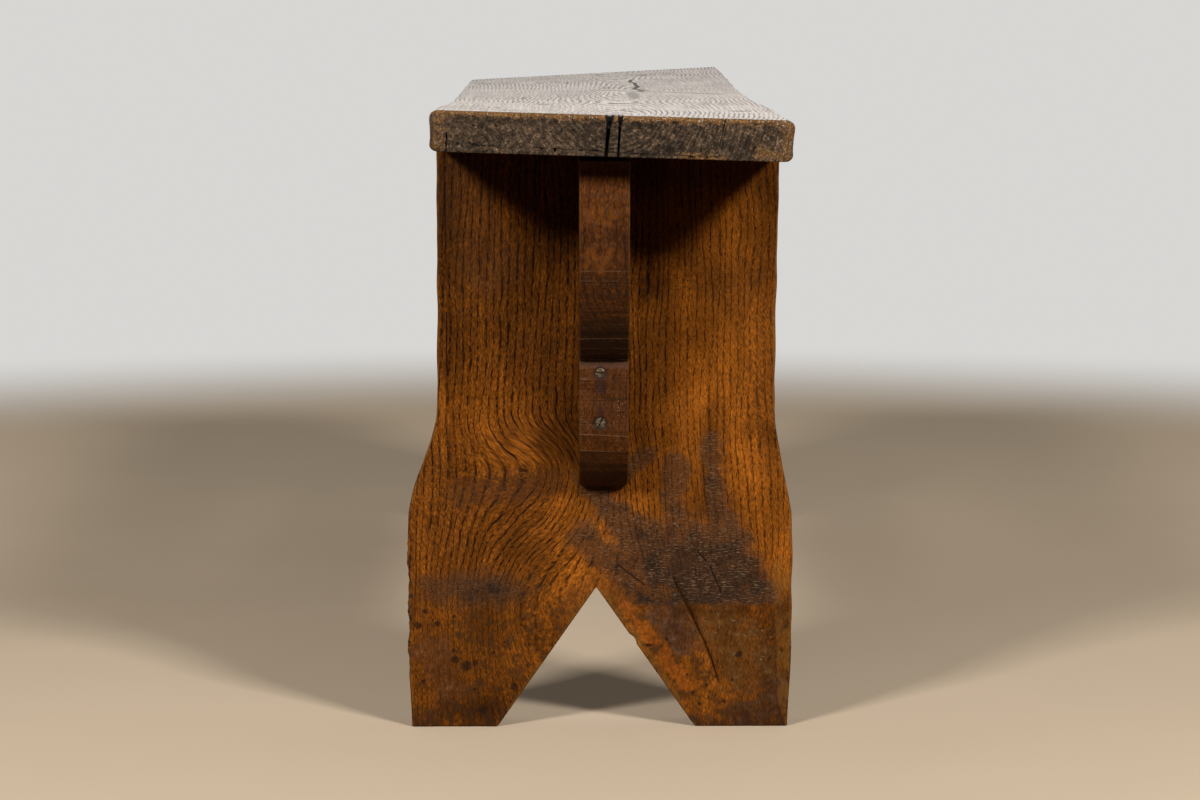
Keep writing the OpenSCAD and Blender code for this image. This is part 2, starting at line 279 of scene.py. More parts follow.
def seat_stations():
    """Places along the plank, close together at its ends, and their inset from the rounding."""
    turn = np.radians(np.linspace(0, 90, 7))
    back = END_ROUND * (1 - np.cos(turn))
    inset = END_ROUND * (1 - np.sin(turn))
    end = SEAT_L / 2
    steps = np.cumsum(np.geomspace(0.9, MIDDLE_STEP, 34))
    inner_far = -end + END_ROUND + np.linspace(2.5, 30, 10)
    inner_near = end - END_ROUND - steps[::-1]
    middle_l = inner_near[0] - inner_far[-1]
    middle = inner_far[-1] + np.linspace(0, middle_l, int(middle_l / MIDDLE_STEP))[1:-1]
    walls = [side * x + d for side in (-1, 1) for x in (LEG_OUT, LEG_OUT - LEG_T) for d in (-0.1, 0.1)]
    inner = np.sort(np.concatenate([inner_far, middle, inner_near, walls]))
    xs = np.concatenate([-end + back, inner, end - back[::-1]])
    insets = np.concatenate([inset, np.zeros(len(inner)), inset[::-1]])
    return xs, insets


def reference_columns():
    """Places across the flat part of the plank, close together at the checks."""
    side = SEAT_W / 2 - SEAT_ROUND
    y = np.linspace(-side, side, 4001)
    density = 1 / COLUMN_STEP + 0 * y
    for middle, _, width, _, _, _ in CHECKS:
        density += FINE_COLUMNS * (np.abs(y - middle) < width / 2 + 0.9)
    total = np.cumsum(density) - density[0]
    return np.interp(np.linspace(0, total[-1], TOP_COUNT - 2 * HALF_CORNER_STEPS), total, y)


def check_middle(check, down):
    """Place across of a check at a depth below the top."""
    return check[0] - check[1] * (down - SEAT_T / 2)


def plank_columns(left, right, reference):
    """The reference columns fitted between two edges, and leaning with the checks."""
    side = SEAT_W / 2 - SEAT_ROUND
    fitted = (reference + (left + SEAT_W / 2) * smooth((-reference - side) / SIDE_FALL + 1)
              + (right - SEAT_W / 2) * smooth((reference - side) / SIDE_FALL + 1))

    def columns(down):
        leaning = fitted.copy()
        for check in CHECKS:
            window = smooth((CHECK_WINDOW - np.abs(reference - check[0])) / (CHECK_WINDOW - 4))
            leaning += (check_middle(check, down) - check[0]) * window
        leaning[0], leaning[-1] = fitted[0], fitted[-1]
        return leaning

    return columns


def inside_check(check, y, down):
    """Where a point lies within a check's width."""
    _, _, width, top, bottom, _ = check
    half = width / 2 * (0.55 + 0.45 * smooth((bottom - down) / (bottom - top)))
    return (np.abs(y - check_middle(check, down)) < half) & (down > top) & (down < bottom)


def groove(y, down, near_end):
    """How far the checks open the plank's top downwards and its bottom upwards near the end."""
    from_edge = np.minimum(down, SEAT_T - down)
    share = smooth(1 - near_end / GROOVE_L) * smooth((8 - from_edge) / 4)
    cut = 0 * y
    for check in CHECKS:
        cut = np.where(inside_check(check, y, down), GROOVE_D, cut)
    return cut * share * np.where(down < SEAT_T / 2, 1, -1)


def top_swell(x, y):
    """How far the worn top lies below the flat plank: long waves, a low cross ridge and a knot."""
    wave = 0.5 * ripple(3, x / 420, y / 260) + 0.2 * ripple(4, x / 90, y / 60)
    ridge = -0.9 * hill((x + 5) / 26) + 1.2 * hill((x + 95) / 60)
    knot = 1.1 * hill((x + 60) / 50) * hill((y - 26) / 9)
    fade = smooth((SEAT_L / 2 - np.abs(x)) / 60)
    swell = np.maximum((wave + ridge + knot + 0.4) * fade, LEAST_SWELL)
    for nail_y in NAILS.values():
        away = np.hypot(np.abs(x) - LEG_MID, y - nail_y)
        swell = np.maximum(swell, NAIL_HOLLOW * smooth(1.6 - away / NAIL_HEAD_D))
    return swell


def seat_point(x, y, down):
    """Turns a place on the flat plank into a point of the twisted one."""
    t = tilt(x)
    return np.stack([
        np.broadcast_to(x, y.shape),
        y * np.cos(t) + down * np.sin(t),
        SEAT_H + y * np.sin(t) - down * np.cos(t),
    ], -1)


def end_cut(y, down):
    """Depth of the near end face below its flat plane: rough saw marks, checks and holes."""
    rough = 0.35 + 0.22 * ripple(11, y / 9, down / 7) + 0.12 * ripple(12, y / 3.4, down / 2.6)
    depth = np.maximum(rough, 0)
    for check in CHECKS:
        depth = depth + np.where(inside_check(check, y, down), check[5], 0)
    return depth


def end_nick(y):
    """Dents in the near end's top edge."""
    return (1.2 * hill((y + 2) / 4.5) + 1.5 * hill((y - 17) / 4.5) + 0.4 * hill((y + 70) / 9)
            + 0.3 * hill((y - 60) / 12) + 0.5 * hill((y - 78) / 2.5) + 0.25 * ripple(31, y / 6))


def build_seat():
    """The plank as one closed mesh with worn edges, checks, dents and the legs' housings."""
    xs, insets = seat_stations()
    reference = reference_columns()
    rings = []
    for x, inset in zip(xs, insets):
        from_end = SEAT_L / 2 - x
        wave = float(ripple(41, np.array(x / 60)))
        left = -SEAT_W / 2 - WANE_OUT + inset + draw_in(LEFT_DRAW, x) + 0.4 * abs(wave)
        right = SEAT_W / 2 + WANE_OUT - inset - draw_in(RIGHT_DRAW, x) - 0.4 * abs(wave)
        left += corner_inset(NEAR_LEFT_CORNER, from_end)
        right -= corner_inset(NEAR_RIGHT_CORNER, from_end)
        high, low = inset * TOP_EDGE_SHARE, SEAT_T - inset * LOW_EDGE_SHARE
        columns = plank_columns(left, right, reference)
        rings.append(box_ring(left, right, high, low, SEAT_ROUND, TOP_COUNT, SIDE_COUNT, columns))
    rings = np.array(rings)
    x = np.repeat(xs[:, None], rings.shape[1], 1)
    y, down = rings[..., 0], rings[..., 1]
    housed = np.abs(np.abs(x) - LEG_MID) < LEG_T / 2 + 0.05
    on_top = smooth((8 - down) / 8)
    near_end = SEAT_L / 2 - x
    drop = top_swell(x, y) * on_top
    drop = drop + np.maximum(end_nick(y), 0) * on_top * smooth((7 - near_end) / 7)
    at_side = smooth((np.abs(y) - SEAT_W / 2 + 14) / 10)
    y = y - np.sign(y) * 0.4 * (1 + ripple(42, x / 26, down / 10)) * at_side
    opened = groove(y, down, near_end)
    down = np.where(housed, down * (SEAT_T - HOUSING_D) / SEAT_T, down) + drop + opened
    sides, index = tube(down, flip=True)
    arris = np.maximum(hill((SEAT_L / 2 - np.abs(x)) / 3), hill((SEAT_W / 2 - 6 - np.abs(y)) / 4) * 0.5)
    worn = [(arris * on_top).ravel()]
    faces = [sides]
    points = [seat_point(x, y, down).reshape(-1, 3)]
    start = down.size
    for end, flip in ((0, True), (len(down) - 1, False)):
        grid, fill = cap(index[end], np.stack([y[end], down[end]], 1), TOP_COUNT, SIDE_COUNT, start)
        cap_y, cap_down = fill[..., 0], fill[..., 1]
        depth = end_cut(cap_y, cap_down) if end else 0.4 + 0.3 * ripple(51, cap_y / 8, cap_down / 6)
        cap_x = x[end, 0] - np.sign(x[end, 0]) * np.maximum(depth, 0)
        points.append(seat_point(cap_x, cap_y, cap_down).reshape(-1, 3))
        worn.append((hill(cap_down / 2.6)).ravel())
        start += cap_y.size
        faces.append(grid_faces(grid, flip=flip))
    points, faces, worn = (np.concatenate(part) for part in (points, faces, worn))
    return make_mesh("worn_seat_plank", points, faces, worn)


# Legs

LEG_COLUMNS, WALL_COLUMNS = 58, 18
LEG_REACH = 149.95
LEG_ROUND, FOOT_ROUND = 1.6, 1.2
ROW_STEP = 2.5
LEVEL_TOP = 400
# Cracks in the near leg's outer face: half of the board, column, places (y, z), width and depth
NEAR_CRACKS = (
    ("inner", 25, ((81.3, 29.8), (77, 44.6), (69.2, 66.2), (59.7, 85.3), (49.2, 106.1), (45.7, 113.4)),
     1.15, 9),
    ("outer", 52, ((-118.2, 178), (-118, 226), (-119.9, 266), (-119.7, 309)), 0.4, 1.2),
)
FAR_CRACKS = (
    ("outer", 30, ((-70, 20), (-66, 70), (-69, 118)), 1, 6),
)


def wide_outline(z):
    """Distance out of the leg's wide side, at a height."""
    t = np.clip((z - WIDE_KNEE) / (WIDE_NECK - WIDE_KNEE), 0, 1)
    flare = WIDE_FLARE * (1 - t * t * (3 - 2 * t))
    taper = FOOT_TAPER * np.clip(1 - z / FOOT_TAPER_Z, 0, 1)
    return SEAT_W / 2 + flare - taper


def narrow_outline(z):
    """Distance out of the leg's narrow side, at a height."""
    side = SEAT_W / 2 - LEG_SET_IN
    waist = side - WAIST_DRAW
    t = np.clip((z - NARROW_KNEE) / (NARROW_NECK - NARROW_KNEE), 0, 1)
    flare = NARROW_FLARE * (1 - t) ** NARROW_POWER
    taper = FOOT_TAPER * np.clip(1 - z / FOOT_TAPER_Z, 0, 1)
    waist_z = NARROW_NECK + (SEAT_H - SEAT_T + HOUSING_D - NARROW_NECK) * WAIST_HEIGHT_SHARE
    grow = WAIST_DRAW * np.clip((z - waist_z) / (SEAT_H - waist_z), 0, 1)
    return waist + flare - taper + grow


def notch_half(z):
    """Half width of the notch at a height."""
    return NOTCH_W / 2 * np.clip(1 - z / NOTCH_H, 0, 1)


def leg_rows():
    """Heights of the leg's rows, with their inset from the rounding of the foot."""
    turn = np.radians(np.linspace(0, 90, 5))
    low, inset = FOOT_ROUND * (1 - np.cos(turn)), FOOT_ROUND * (1 - np.sin(turn))
    foot = np.linspace(FOOT_ROUND, NOTCH_H, int(NOTCH_H / ROW_STEP))[1:]
    top = SEAT_H - SEAT_T + HOUSING_D
    board = np.linspace(NOTCH_H, top, int((top - NOTCH_H) / ROW_STEP))[1:]
    rows = np.concatenate([low, foot, board])
    return rows, np.concatenate([inset, np.zeros(len(foot) + len(board))])


def leg_height(row_z, y, side):
    """Height of a point: rows are level below, and follow the plank's tilt at the top."""
    top = SEAT_H - SEAT_T + HOUSING_D
    t = tilt(side * LEG_MID)
    slanted = SEAT_H + side * y * math.tan(t) - (SEAT_T - HOUSING_D) / math.cos(t) - 0.1
    share = max(row_z - LEVEL_TOP, 0) / (top - LEVEL_TOP)
    return row_z + (slanted - top) * share


def face_relief(y, z, seed, patch):
    """Depth of a board face's unevenness: planing waves, and torn grain in the dark patch."""
    wave = 0.22 * (1 + ripple(seed, y / 60, z / 120)) + 0.06 * (1 + ripple(seed + 1, y / 12, z / 40))
    torn = patch * smooth((z - 92) / 8) * hill((y - 62) / 55) * hill((z - 130) / 42)
    return wave + torn * 0.28 * (1 + ripple(seed + 2, y / 9, z / 4))


def pull_to_crack(along, length, outer_y, z, crack):
    """Moves a row's columns so that one of them runs down a crack; gives the crack's depth too."""
    _, column, places, width, deep = crack
    heights = [p[1] for p in places]
    sway = 0.35 * float(ripple(column, np.array(z / 7)))
    middle = abs(float(np.interp(z, heights, [p[0] for p in places])) + sway - outer_y)
    inside = min(z - heights[0], heights[-1] - z)
    opening = float(smooth((inside + 1) / 14))
    near = float(smooth((inside + 30) / 26))
    half = width * (0.35 + 0.65 * opening)
    last = len(along) - 1
    knots = [0, column - 1, column, column + 1, last]
    target = np.interp(np.arange(last + 1), knots, [0, middle - half, middle, middle + half, length])
    keep = slice(HALF_CORNER_STEPS, last + 1 - HALF_CORNER_STEPS)
    pulled = along.copy()
    pulled[keep] = along[keep] * (1 - near) + target[keep] * near
    depth = np.zeros(len(along))
    depth[column] = deep * opening
    return np.sort(pulled), depth


def leg_half(which, side, rows, insets, cracks, seed):
    """Rings of one half of a leg board, as places (out, across, up), and the wear at each point."""
    sign = -1 if which == "outer" else 1
    outline = wide_outline if which == "outer" else narrow_outline
    rings, wears = [], []
    for row_z, inset in zip(rows, insets):
        outer_y = sign * (outline(row_z) - inset)
        below = row_z < NOTCH_H
        nick = 2.4 * float(hill((row_z - 66) / 1.6)) if sign > 0 and side > 0 else 0
        inner_y = NOTCH_Y + sign * (notch_half(row_z) + (inset + nick) * below)
        length, thick = abs(outer_y - inner_y), LEG_T - 2 * inset
        roundness = float(smooth((NOTCH_H - row_z) / 8))
        front, front_deep = edge_run(length, LEG_COLUMNS, LEG_ROUND, 1, roundness)
        from_edge = np.minimum(front, np.where(below, length - front, length))
        for crack in cracks:
            if crack[0] == which:
                front, cut = pull_to_crack(front, length, outer_y, row_z, crack)
                front_deep = front_deep + cut
        wall, wall_deep = edge_run(thick, WALL_COLUMNS, LEG_ROUND, roundness, roundness)
        back, back_deep = edge_run(length, LEG_COLUMNS, LEG_ROUND, roundness, 1)
        edge, edge_deep = edge_run(thick, WALL_COLUMNS, LEG_ROUND)
        s = np.concatenate([front[:-1], length - wall_deep[:-1], length - back[:-1], edge_deep[:-1]])
        t = np.concatenate([front_deep[:-1], wall[:-1], thick - back_deep[:-1], thick - edge[:-1]])
        back_edge = np.minimum(length - back, np.where(below, back, length))
        wall_edge = np.minimum(edge, thick - edge)
        gap = np.concatenate([from_edge[:-1], np.minimum(wall, thick - wall)[:-1] + (not below) * 9,
                              back_edge[:-1], wall_edge[:-1]])
        at_outer = smooth(1 - s / 5)
        ragged = 0.35 * (1 + ripple(seed, row_z / 23 + 0 * s, t / 30))
        if sign < 0:
            ragged = ragged + 0.9 * hill((row_z - 92) / 45) * (1 + ripple(seed + 3, row_z / 4 + 0 * s, t / 9))
        s = s + ragged * at_outer
        y = np.clip(outer_y - sign * s, -LEG_REACH, LEG_REACH)
        patch = 1 if side > 0 else 0
        relief = face_relief(y, row_z, seed, patch) * smooth(from_plane(t, thick))
        t = t + np.where(t < thick / 2, relief, -relief * 0.7)
        z = leg_height(row_z, y, side)
        rings.append(np.stack([LEG_OUT - inset - t, y, z], 1))
        wears.append(hill(gap / 1.9))
    return np.array(rings), np.array(wears)


def from_plane(t, thick):
    """1 on a board's two faces, falling to 0 inside its thickness."""
    return 1 - np.minimum(t, thick - t) / 6


def build_leg(side, name, cracks, seed):
    """A notched leg board as one closed mesh: two halves joined on the line above the notch."""
    rows, insets = leg_rows()
    halves, start = [], 0
    wall = slice(LEG_COLUMNS - 1, LEG_COLUMNS + WALL_COLUMNS - 2)
    for which, flip in (("outer", True), ("inner", False)):
        rings, wear = leg_half(which, side, rows, insets, cracks, seed)
        kept = np.ones((len(rows) - 1, wear.shape[1]), bool)
        kept[rows[:-1] > NOTCH_H - ROW_STEP / 10, wall] = False
        *half, start = capped(rings, wear, (flip, not flip), LEG_COLUMNS, WALL_COLUMNS, kept, 0.2, start)
        halves.append(half)
    points, wears, faces = (np.concatenate(part) for part in zip(*halves))
    return make_mesh(name, points * (side, side, 1), faces, wears)


# Stretcher

def build_stretcher():
    """The board between the legs, with rounded arrises, a slightly uneven saw, and its tenons."""
    inner = LEG_OUT - LEG_T
    turn = np.radians(np.linspace(0, 90, 4))
    chamfer = 1 - np.sin(turn)
    back = 1 - np.cos(turn)
    board = np.linspace(-inner, inner, 220)
    tip = LEG_OUT - TENON_BACK
    stations = [(-tip + b, 1, c) for b, c in zip(back, chamfer)]
    stations += [(-inner, 1, 0)]
    stations += [(x, 0, 0) for x in board]
    stations += [(inner, 1, 0)]
    stations += [(tip - b, 1, c) for b, c in zip(back[::-1], chamfer[::-1])]
    rings, wears = [], []
    count_y, count_z = 20, 44
    for x, tenon, inset in stations:
        half = (TENON_T if tenon else STRETCHER_T) / 2 - inset
        shoulder = TENON_SHOULDER if tenon else 0
        low, high = STRETCHER_Z + shoulder + inset, STRETCHER_Z + STRETCHER_H - shoulder - inset
        ring = box_ring(-half, half, -high, -low, 1.8, count_y, count_z)
        y, z = ring[:, 0], -ring[:, 1]
        edge = np.minimum(np.abs(half - np.abs(y)), 9) + np.minimum(np.minimum(z - low, high - z), 9)
        uneven = 0 if tenon else 1
        y = y - np.sign(y) * uneven * 0.3 * (1 + ripple(61, x / 90 + 0 * y, z / 40))
        inward_z = np.where(z > STRETCHER_Z + STRETCHER_H / 2, -1, 1)
        z = z + uneven * inward_z * 0.5 * (1 + ripple(62, x / 120 + 0 * z, y / 30))
        rings.append(np.stack([x + 0 * y, CENTRE_Y + y, z], 1))
        wears.append(hill(edge / 3))
    points, worn, faces, _ = capped(rings, wears, (True, True), count_y, count_z)
    return make_mesh("sawn_stretcher", points, faces, worn)


# Brackets

# Rounding of the arrises and of the heel's low corners, and the greatest step along the outline
BRACKET_ROUND, HEEL_ROUND, OUTLINE_STEP = 1.3, 3.6, 1.2


def bracket_profile(seed):
    """The bracket seen from the side: distance out from the leg and height, in even small steps."""
    top = SEAT_H - SEAT_T / math.cos(NEAR_TILT) - BRACKET_GAP
    top -= abs(math.tan(NEAR_TILT)) * (abs(CENTRE_Y) + BRACKET_T / 2)
    head_low = top - HEAD_FACE_H
    turn = np.linspace(0, BELLY_TURN, 15)
    belly_out = HEAD_REACH - (HEAD_REACH - NECK_REACH) * (1 - np.cos(turn)) / (1 - math.cos(BELLY_TURN))
    belly_z = head_low - (head_low - NOSE_TOP) * np.sin(turn) / math.sin(BELLY_TURN)
    share = np.linspace(0, 1, 14)
    heel_top = NOSE_LOW - FACET_H
    run, fall = NOSE_REACH - FACET_D - HEEL_REACH, heel_top - BRACKET_Z
    bulge = HEEL_BULGE * np.sin(math.pi * share) / math.hypot(run, fall)
    heel_out = NOSE_REACH - FACET_D - run * share + bulge * fall
    heel_z = heel_top - fall * share - bulge * run
    corners = [(0, BRACKET_Z), (0, top), (HEAD_REACH - 0.8, top), (HEAD_REACH, top - 0.8)]
    corners += list(zip(belly_out, belly_z))
    corners += [(NOSE_REACH - 0.9, NOSE_TOP - LEDGE_FALL + 0.6), (NOSE_REACH, NOSE_TOP - LEDGE_FALL - 0.7)]
    corners += [(NOSE_REACH, NOSE_LOW)]
    corners += list(zip(heel_out, heel_z))
    corners = np.array(corners + [corners[0]])
    runs = np.linalg.norm(np.diff(corners, axis=0), axis=1)
    points = []
    for i, run in enumerate(runs):
        steps = max(int(run / OUTLINE_STEP), 1)
        share = np.arange(steps)[:, None] / steps
        points.append(corners[i] + share * (corners[i + 1] - corners[i]))
    outline = np.concatenate(points)
    out, z = outline[:, 0], outline[:, 1]
    cut = 0.25 * (1 + ripple(seed, out / 9, z / 9)) * (out > 6) * (z < top - 1)
    return np.stack([np.maximum(out - cut, 0), z], 1)


def inward(outline):
    """Unit vectors that point into a closed clockwise outline."""
    along = np.roll(outline, -1, 0) - np.roll(outline, 1, 0)
    along = along / np.maximum(np.linalg.norm(along, axis=1), 1e-6)[:, None]
    return np.stack([along[:, 1], -along[:, 0]], 1)


def build_bracket(side, name, seed):
    """A scroll-sawn bracket: its outline carried across its width, with rounded arrises."""
    outline = bracket_profile(seed)
    into = inward(outline)
    free = smooth(outline[:, 0] / 1.5)[:, None]
    half, r = BRACKET_T / 2, BRACKET_ROUND
    turn = np.radians(np.linspace(0, 90, 6))
    edge_y, edge_in = half - r + r * np.cos(turn), r - r * np.sin(turn)
    across = np.linspace(-half + r, half - r, 28)
    stations = [(-half, r + 1.2)] + [(-y, d) for y, d in zip(edge_y, edge_in)]
    stations += [(y, 0) for y in across[1:-1]]
    stations += [(y, d) for y, d in zip(edge_y[::-1], edge_in[::-1])] + [(half, r + 1.2)]
    rings, wears = [], []
    for y, inset in stations:
        ring = outline + into * inset * free
        ry = y * (1 - corner_inset(HEEL_ROUND, ring[:, 1] - BRACKET_Z) / half)
        saw = 0.12 * ripple(seed + 5, ry / 5, ring[:, 0] / 12, ring[:, 1] / 12)
        seat = 0
        for screw_z, head_d in SCREWS.values():
            away = np.hypot(CENTRE_Y + ry * side - SCREW_Y, ring[:, 1] - screw_z)
            seat = seat + 0.9 * smooth((head_d / 2 + 1.3 - away) / 1.6) * (ring[:, 0] > HEEL_REACH)
        ring = ring + into * (0.12 + saw + seat)[:, None] * free
        rings.append(np.stack([LEG_OUT + ring[:, 0], CENTRE_Y + ry, ring[:, 1]], 1))
        wears.append(np.full(len(ring), float(hill((half - abs(y)) / 1.1))) * free[:, 0])
    sides, index = tube(rings, flip=True)
    points = np.reshape(rings, (-1, 3)) * (side, side, 1)
    points[:, 1] += CENTRE_Y * (1 - side)
    return make_mesh(name, points, [*sides, index[0][::-1], index[-1]], np.ravel(wears))


# Screws and nails

def lathe(profile, count, shape):
    """Points and faces turned about Z from (radius, height) pairs, and then shaped by a function."""
    angle = np.linspace(0, 2 * math.pi, count, endpoint=False)
    r, z = (column[:, None] * np.ones(count) for column in np.transpose(profile))
    placed = np.stack(shape(r * np.cos(angle), r * np.sin(angle), z), -1)
    return placed.reshape(-1, 3), tube(placed)[0]


def screw_piece(side, name, z, head_d, turn_share, seed):
    """A slotted countersunk screw, its head turned by its own share of a turn."""
    r = head_d / 2
    domed = [(r * s, 0.45 * (1 - s * s)) for s in np.linspace(0.001, 0.94, 24)]
    rim = [(r, -0.18), (r * 0.98, -0.45)]
    cone = [(SCREW_D / 2, -2.2)]
    shank = [(SCREW_D / 2, -d) for d in np.arange(3, SCREW_L * 0.4, 3)]
    thread = []
    for k in range(int((SCREW_L * 0.56) / 1.8)):
        d = SCREW_L * 0.4 + 1.8 * k
        slim = 1 - 0.35 * k * 1.8 / (SCREW_L * 0.56)
        thread += [(SCREW_D / 2 * slim, -d), (SCREW_D / 2 * slim * 0.74, -d - 0.9)]
    tip = [(0.25, -SCREW_L + 0.3), (0.001, -SCREW_L)]
    spin = 2 * math.pi * turn_share

    def slot(x, y, height):
        across = x * math.cos(spin) + y * math.sin(spin)
        cut = 1.1 * smooth((0.62 - np.abs(across)) / 0.16) * (height > -0.6)
        dull = 0.07 * ripple(seed, x / 1.3, y / 1.3) * (height > -0.6)
        return x, y, height - cut - 0.07 + dull

    points, faces = lathe(domed + rim + cone + shank + thread + tip, 56, slot)
    x = LEG_OUT + NOSE_REACH - SCREW_SINK - 0.1 + points[:, 2]
    placed = np.stack([side * x, SCREW_Y + points[:, 0] * side, z + points[:, 1]], 1)
    return make_mesh(name, placed, faces)


def nail_piece(side, name, y, seed):
    """A forged nail: a faceted rose head on a tapered square shank."""
    x = side * LEG_MID
    top = SEAT_H + y * math.tan(tilt(x)) - NAIL_SINK
    r = NAIL_HEAD_D / 2
    head = [(r * s, -0.55 * s ** 1.6) for s in np.linspace(0.001, 0.92, 12)]
    head += [(r, -0.95), (r * 0.96, -NAIL_HEAD_T), (NAIL_D / 2 * 0.98, -NAIL_HEAD_T - 0.02)]
    depths = np.linspace(NAIL_HEAD_T + 3, NAIL_L - 2, 14)
    shank = [(NAIL_D / 2 * (1 - 0.6 * d / NAIL_L), -d) for d in depths] + [(0.001, -NAIL_L + 0.3)]

    def forge(px, py, pz):
        angle = np.arctan2(py, px)
        flat = 1 - 0.06 * np.abs(np.sin(2.5 * angle + seed))
        beat = 0.1 * (ripple(seed, px / 3, py / 3) - 1) * (pz > -1)
        is_head = pz > -NAIL_HEAD_T - 0.01
        square = 1 / np.maximum(np.abs(np.cos(angle)), np.abs(np.sin(angle))) * 0.72
        stretch = np.where(is_head, flat, square)
        return px * stretch, py * stretch, pz + np.where(is_head, beat, 0)

    points, faces = lathe(head + shank, 40, forge)
    return make_mesh(name, points + (x, y, top), faces)


# Materials

class Num:
    """A number in a node tree, so that formulas can be written plainly."""

    def __init__(self, paint, socket):
        self.paint, self.socket = paint, socket

    def run(self, operation, *others):
        node = self.paint.node("Math", enumerate((self, *others)), operation=operation)
        return Num(self.paint, node.outputs[0])

    __add__ = __radd__ = partialmethod(run, "ADD")
    __sub__ = partialmethod(run, "SUBTRACT")
    __mul__ = __rmul__ = partialmethod(run, "MULTIPLY")
    __truediv__ = partialmethod(run, "DIVIDE")
    least = partialmethod(run, "MINIMUM")
    most = partialmethod(run, "MAXIMUM")
    root = partialmethod(run, "SQRT")
    size = partialmethod(run, "ABSOLUTE")
    sine = partialmethod(run, "SINE")
    part = partialmethod(run, "FRACT")
    power = partialmethod(run, "EXPONENT")

    def __rsub__(self, other):
        return self * -1 + other

    def away(self, other):
        """Distance from zero of a place given by two numbers."""
        return (self * self + other * other).root()

    def bell(self, width):
        """Bell of height 1 round zero, down to a half at the width."""
        scaled = self / width
        return (scaled * scaled * -math.log(2)).power()

    def step(self, low, high):
        """Smoothly 0 at low and 1 at high, also where low is above high."""
        values = (self, high, low, 1, 0) if low > high else (self, low, high, 0, 1)
        node = self.paint.node("MapRange", enumerate(values), interpolation_type="SMOOTHSTEP")
        return Num(self.paint, node.outputs[0])


def strongest(shares):
    """The greatest of some numbers, point by point."""
    return reduce(Num.most, shares)


class Coat:
    """A colour in a node tree, on which others can be laid."""

    def __init__(self, paint, socket):
        self.paint, self.socket = paint, socket

    def lay(self, share, colour):
        """Covers a share of it with another colour."""
        self.socket = self.paint.mix(share, self, colour).socket

    def dim(self, factor):
        """Multiplies it by a number."""
        self.socket = self.paint.gain(self, factor).socket


class Paint:
    """The node tree of a material or a world, built by formulas on places in millimetres."""

    def __init__(self, name, is_world=False):
        self.owner = (bpy.data.worlds if is_world else bpy.data.materials).new(name)
        self.owner.use_nodes = True
        self.tree = self.owner.node_tree
        self.tree.nodes.clear()
        place = self.node("TexCoord").outputs["Generated" if is_world else "Object"]
        axes = self.node("SeparateXYZ", {0: place}).outputs
        self.x, self.y, self.z = (Num(self, axis) * (1 / MM) for axis in axes)

    def node(self, kind, inputs=(), **settings):
        """A new node with some settings, its inputs fed by number or name."""
        made = self.tree.nodes.new("ShaderNode" + kind)
        for key, value in settings.items():
            setattr(made, key, value)
        for key, value in dict(inputs).items():
            self.feed(made.inputs[key], value)
        return made

    def feed(self, socket, value):
        value = getattr(value, "socket", value)
        if isinstance(value, bpy.types.NodeSocket):
            self.tree.links.new(value, socket)
        elif isinstance(value, tuple) and socket.type == "RGBA":
            socket.default_value = (*value, 1)
        else:
            socket.default_value = value

    def wear(self, low, high):
        """Smooth step of the wear stored at each point of the mesh."""
        return Num(self, self.node("Attribute", attribute_name="worn").outputs["Fac"]).step(low, high)

    def texture(self, kind, axes, grains, shift, **inputs):
        """A texture node at a place along three axes, each divided by its grain."""
        first, *rest = (axis / grain for axis, grain in zip(axes, grains))
        place = self.node("CombineXYZ", enumerate([first + shift if shift else first, *rest]))
        return self.node(kind, {"Vector": place.outputs[0], "Scale": 1, **inputs})

    def noise(self, axes, a, b, c, detail=2, rough=0.5, shift=0):
        """Noise from 0 to 1, with its grain along each of three axes."""
        node = self.texture("TexNoise", axes, (a, b, c), shift, Detail=detail, Roughness=rough)
        return Num(self, node.outputs[0])

    def cells(self, axes, a, b, c, shift=0):
        """Distance to the nearest of scattered points, with their spacing along each of three axes."""
        return Num(self, self.texture("TexVoronoi", axes, (a, b, c), shift).outputs["Distance"])

    def mix(self, factor, a, b):
        """Colour b over colour a."""
        node = self.node("Mix", {0: factor, 6: a, 7: b}, data_type="RGBA", clamp_factor=True)
        return Coat(self, node.outputs[2])

    def gain(self, colour, factor):
        """Colour times a number."""
        node = self.node("VectorMath", {0: colour, "Scale": factor}, operation="SCALE")
        return Coat(self, node.outputs[0])

    def from_line(self, y, z, start, stop):
        """Distance from the line between two places."""
        reach_y, reach_z = stop[0] - start[0], stop[1] - start[1]
        square = reach_y ** 2 + reach_z ** 2
        from_y, from_z = y - start[0], z - start[1]
        way = (from_y * (reach_y / square) + from_z * (reach_z / square)).most(0).least(1)
        off_y, off_z = from_y - way * reach_y, from_z - way * reach_z
        return off_y.away(off_z)

    def blot(self, y, z, start, stop, half, edge, rag):
        """Ragged blot along a line: its half width, and how far noise moves its edge."""
        return (self.from_line(y, z, start, stop) + (edge - 0.5) * rag).step(half * 1.4, half * 0.5)

    def spots(self, y, z, places):
        """How much a point lies in any of some round spots, given as (y, z, radius)."""
        return strongest((y - spot_y).away(z - spot_z).step(r * 1.25, r * 0.55)
                         for spot_y, spot_z, r in places)

    def finish(self, colour, rough, height, raised, specular=0.5, metal=0):
        """Joins the shader, its surface raised by height times some millimetres, and gives the material."""
        normal = self.node("Bump", {"Strength": 1, "Distance": raised * MM, "Height": height}).outputs[0]
        shader = self.node("BsdfPrincipled", {"Base Color": colour, "Roughness": rough, "Normal": normal,
                                              "Specular IOR Level": specular, "Metallic": metal})
        self.node("OutputMaterial", {"Surface": shader.outputs[0]})
        return self.owner


# Spacing of the plank's rings on its top and in its near end
TOP_RING, END_RING = 3.5, 3.1
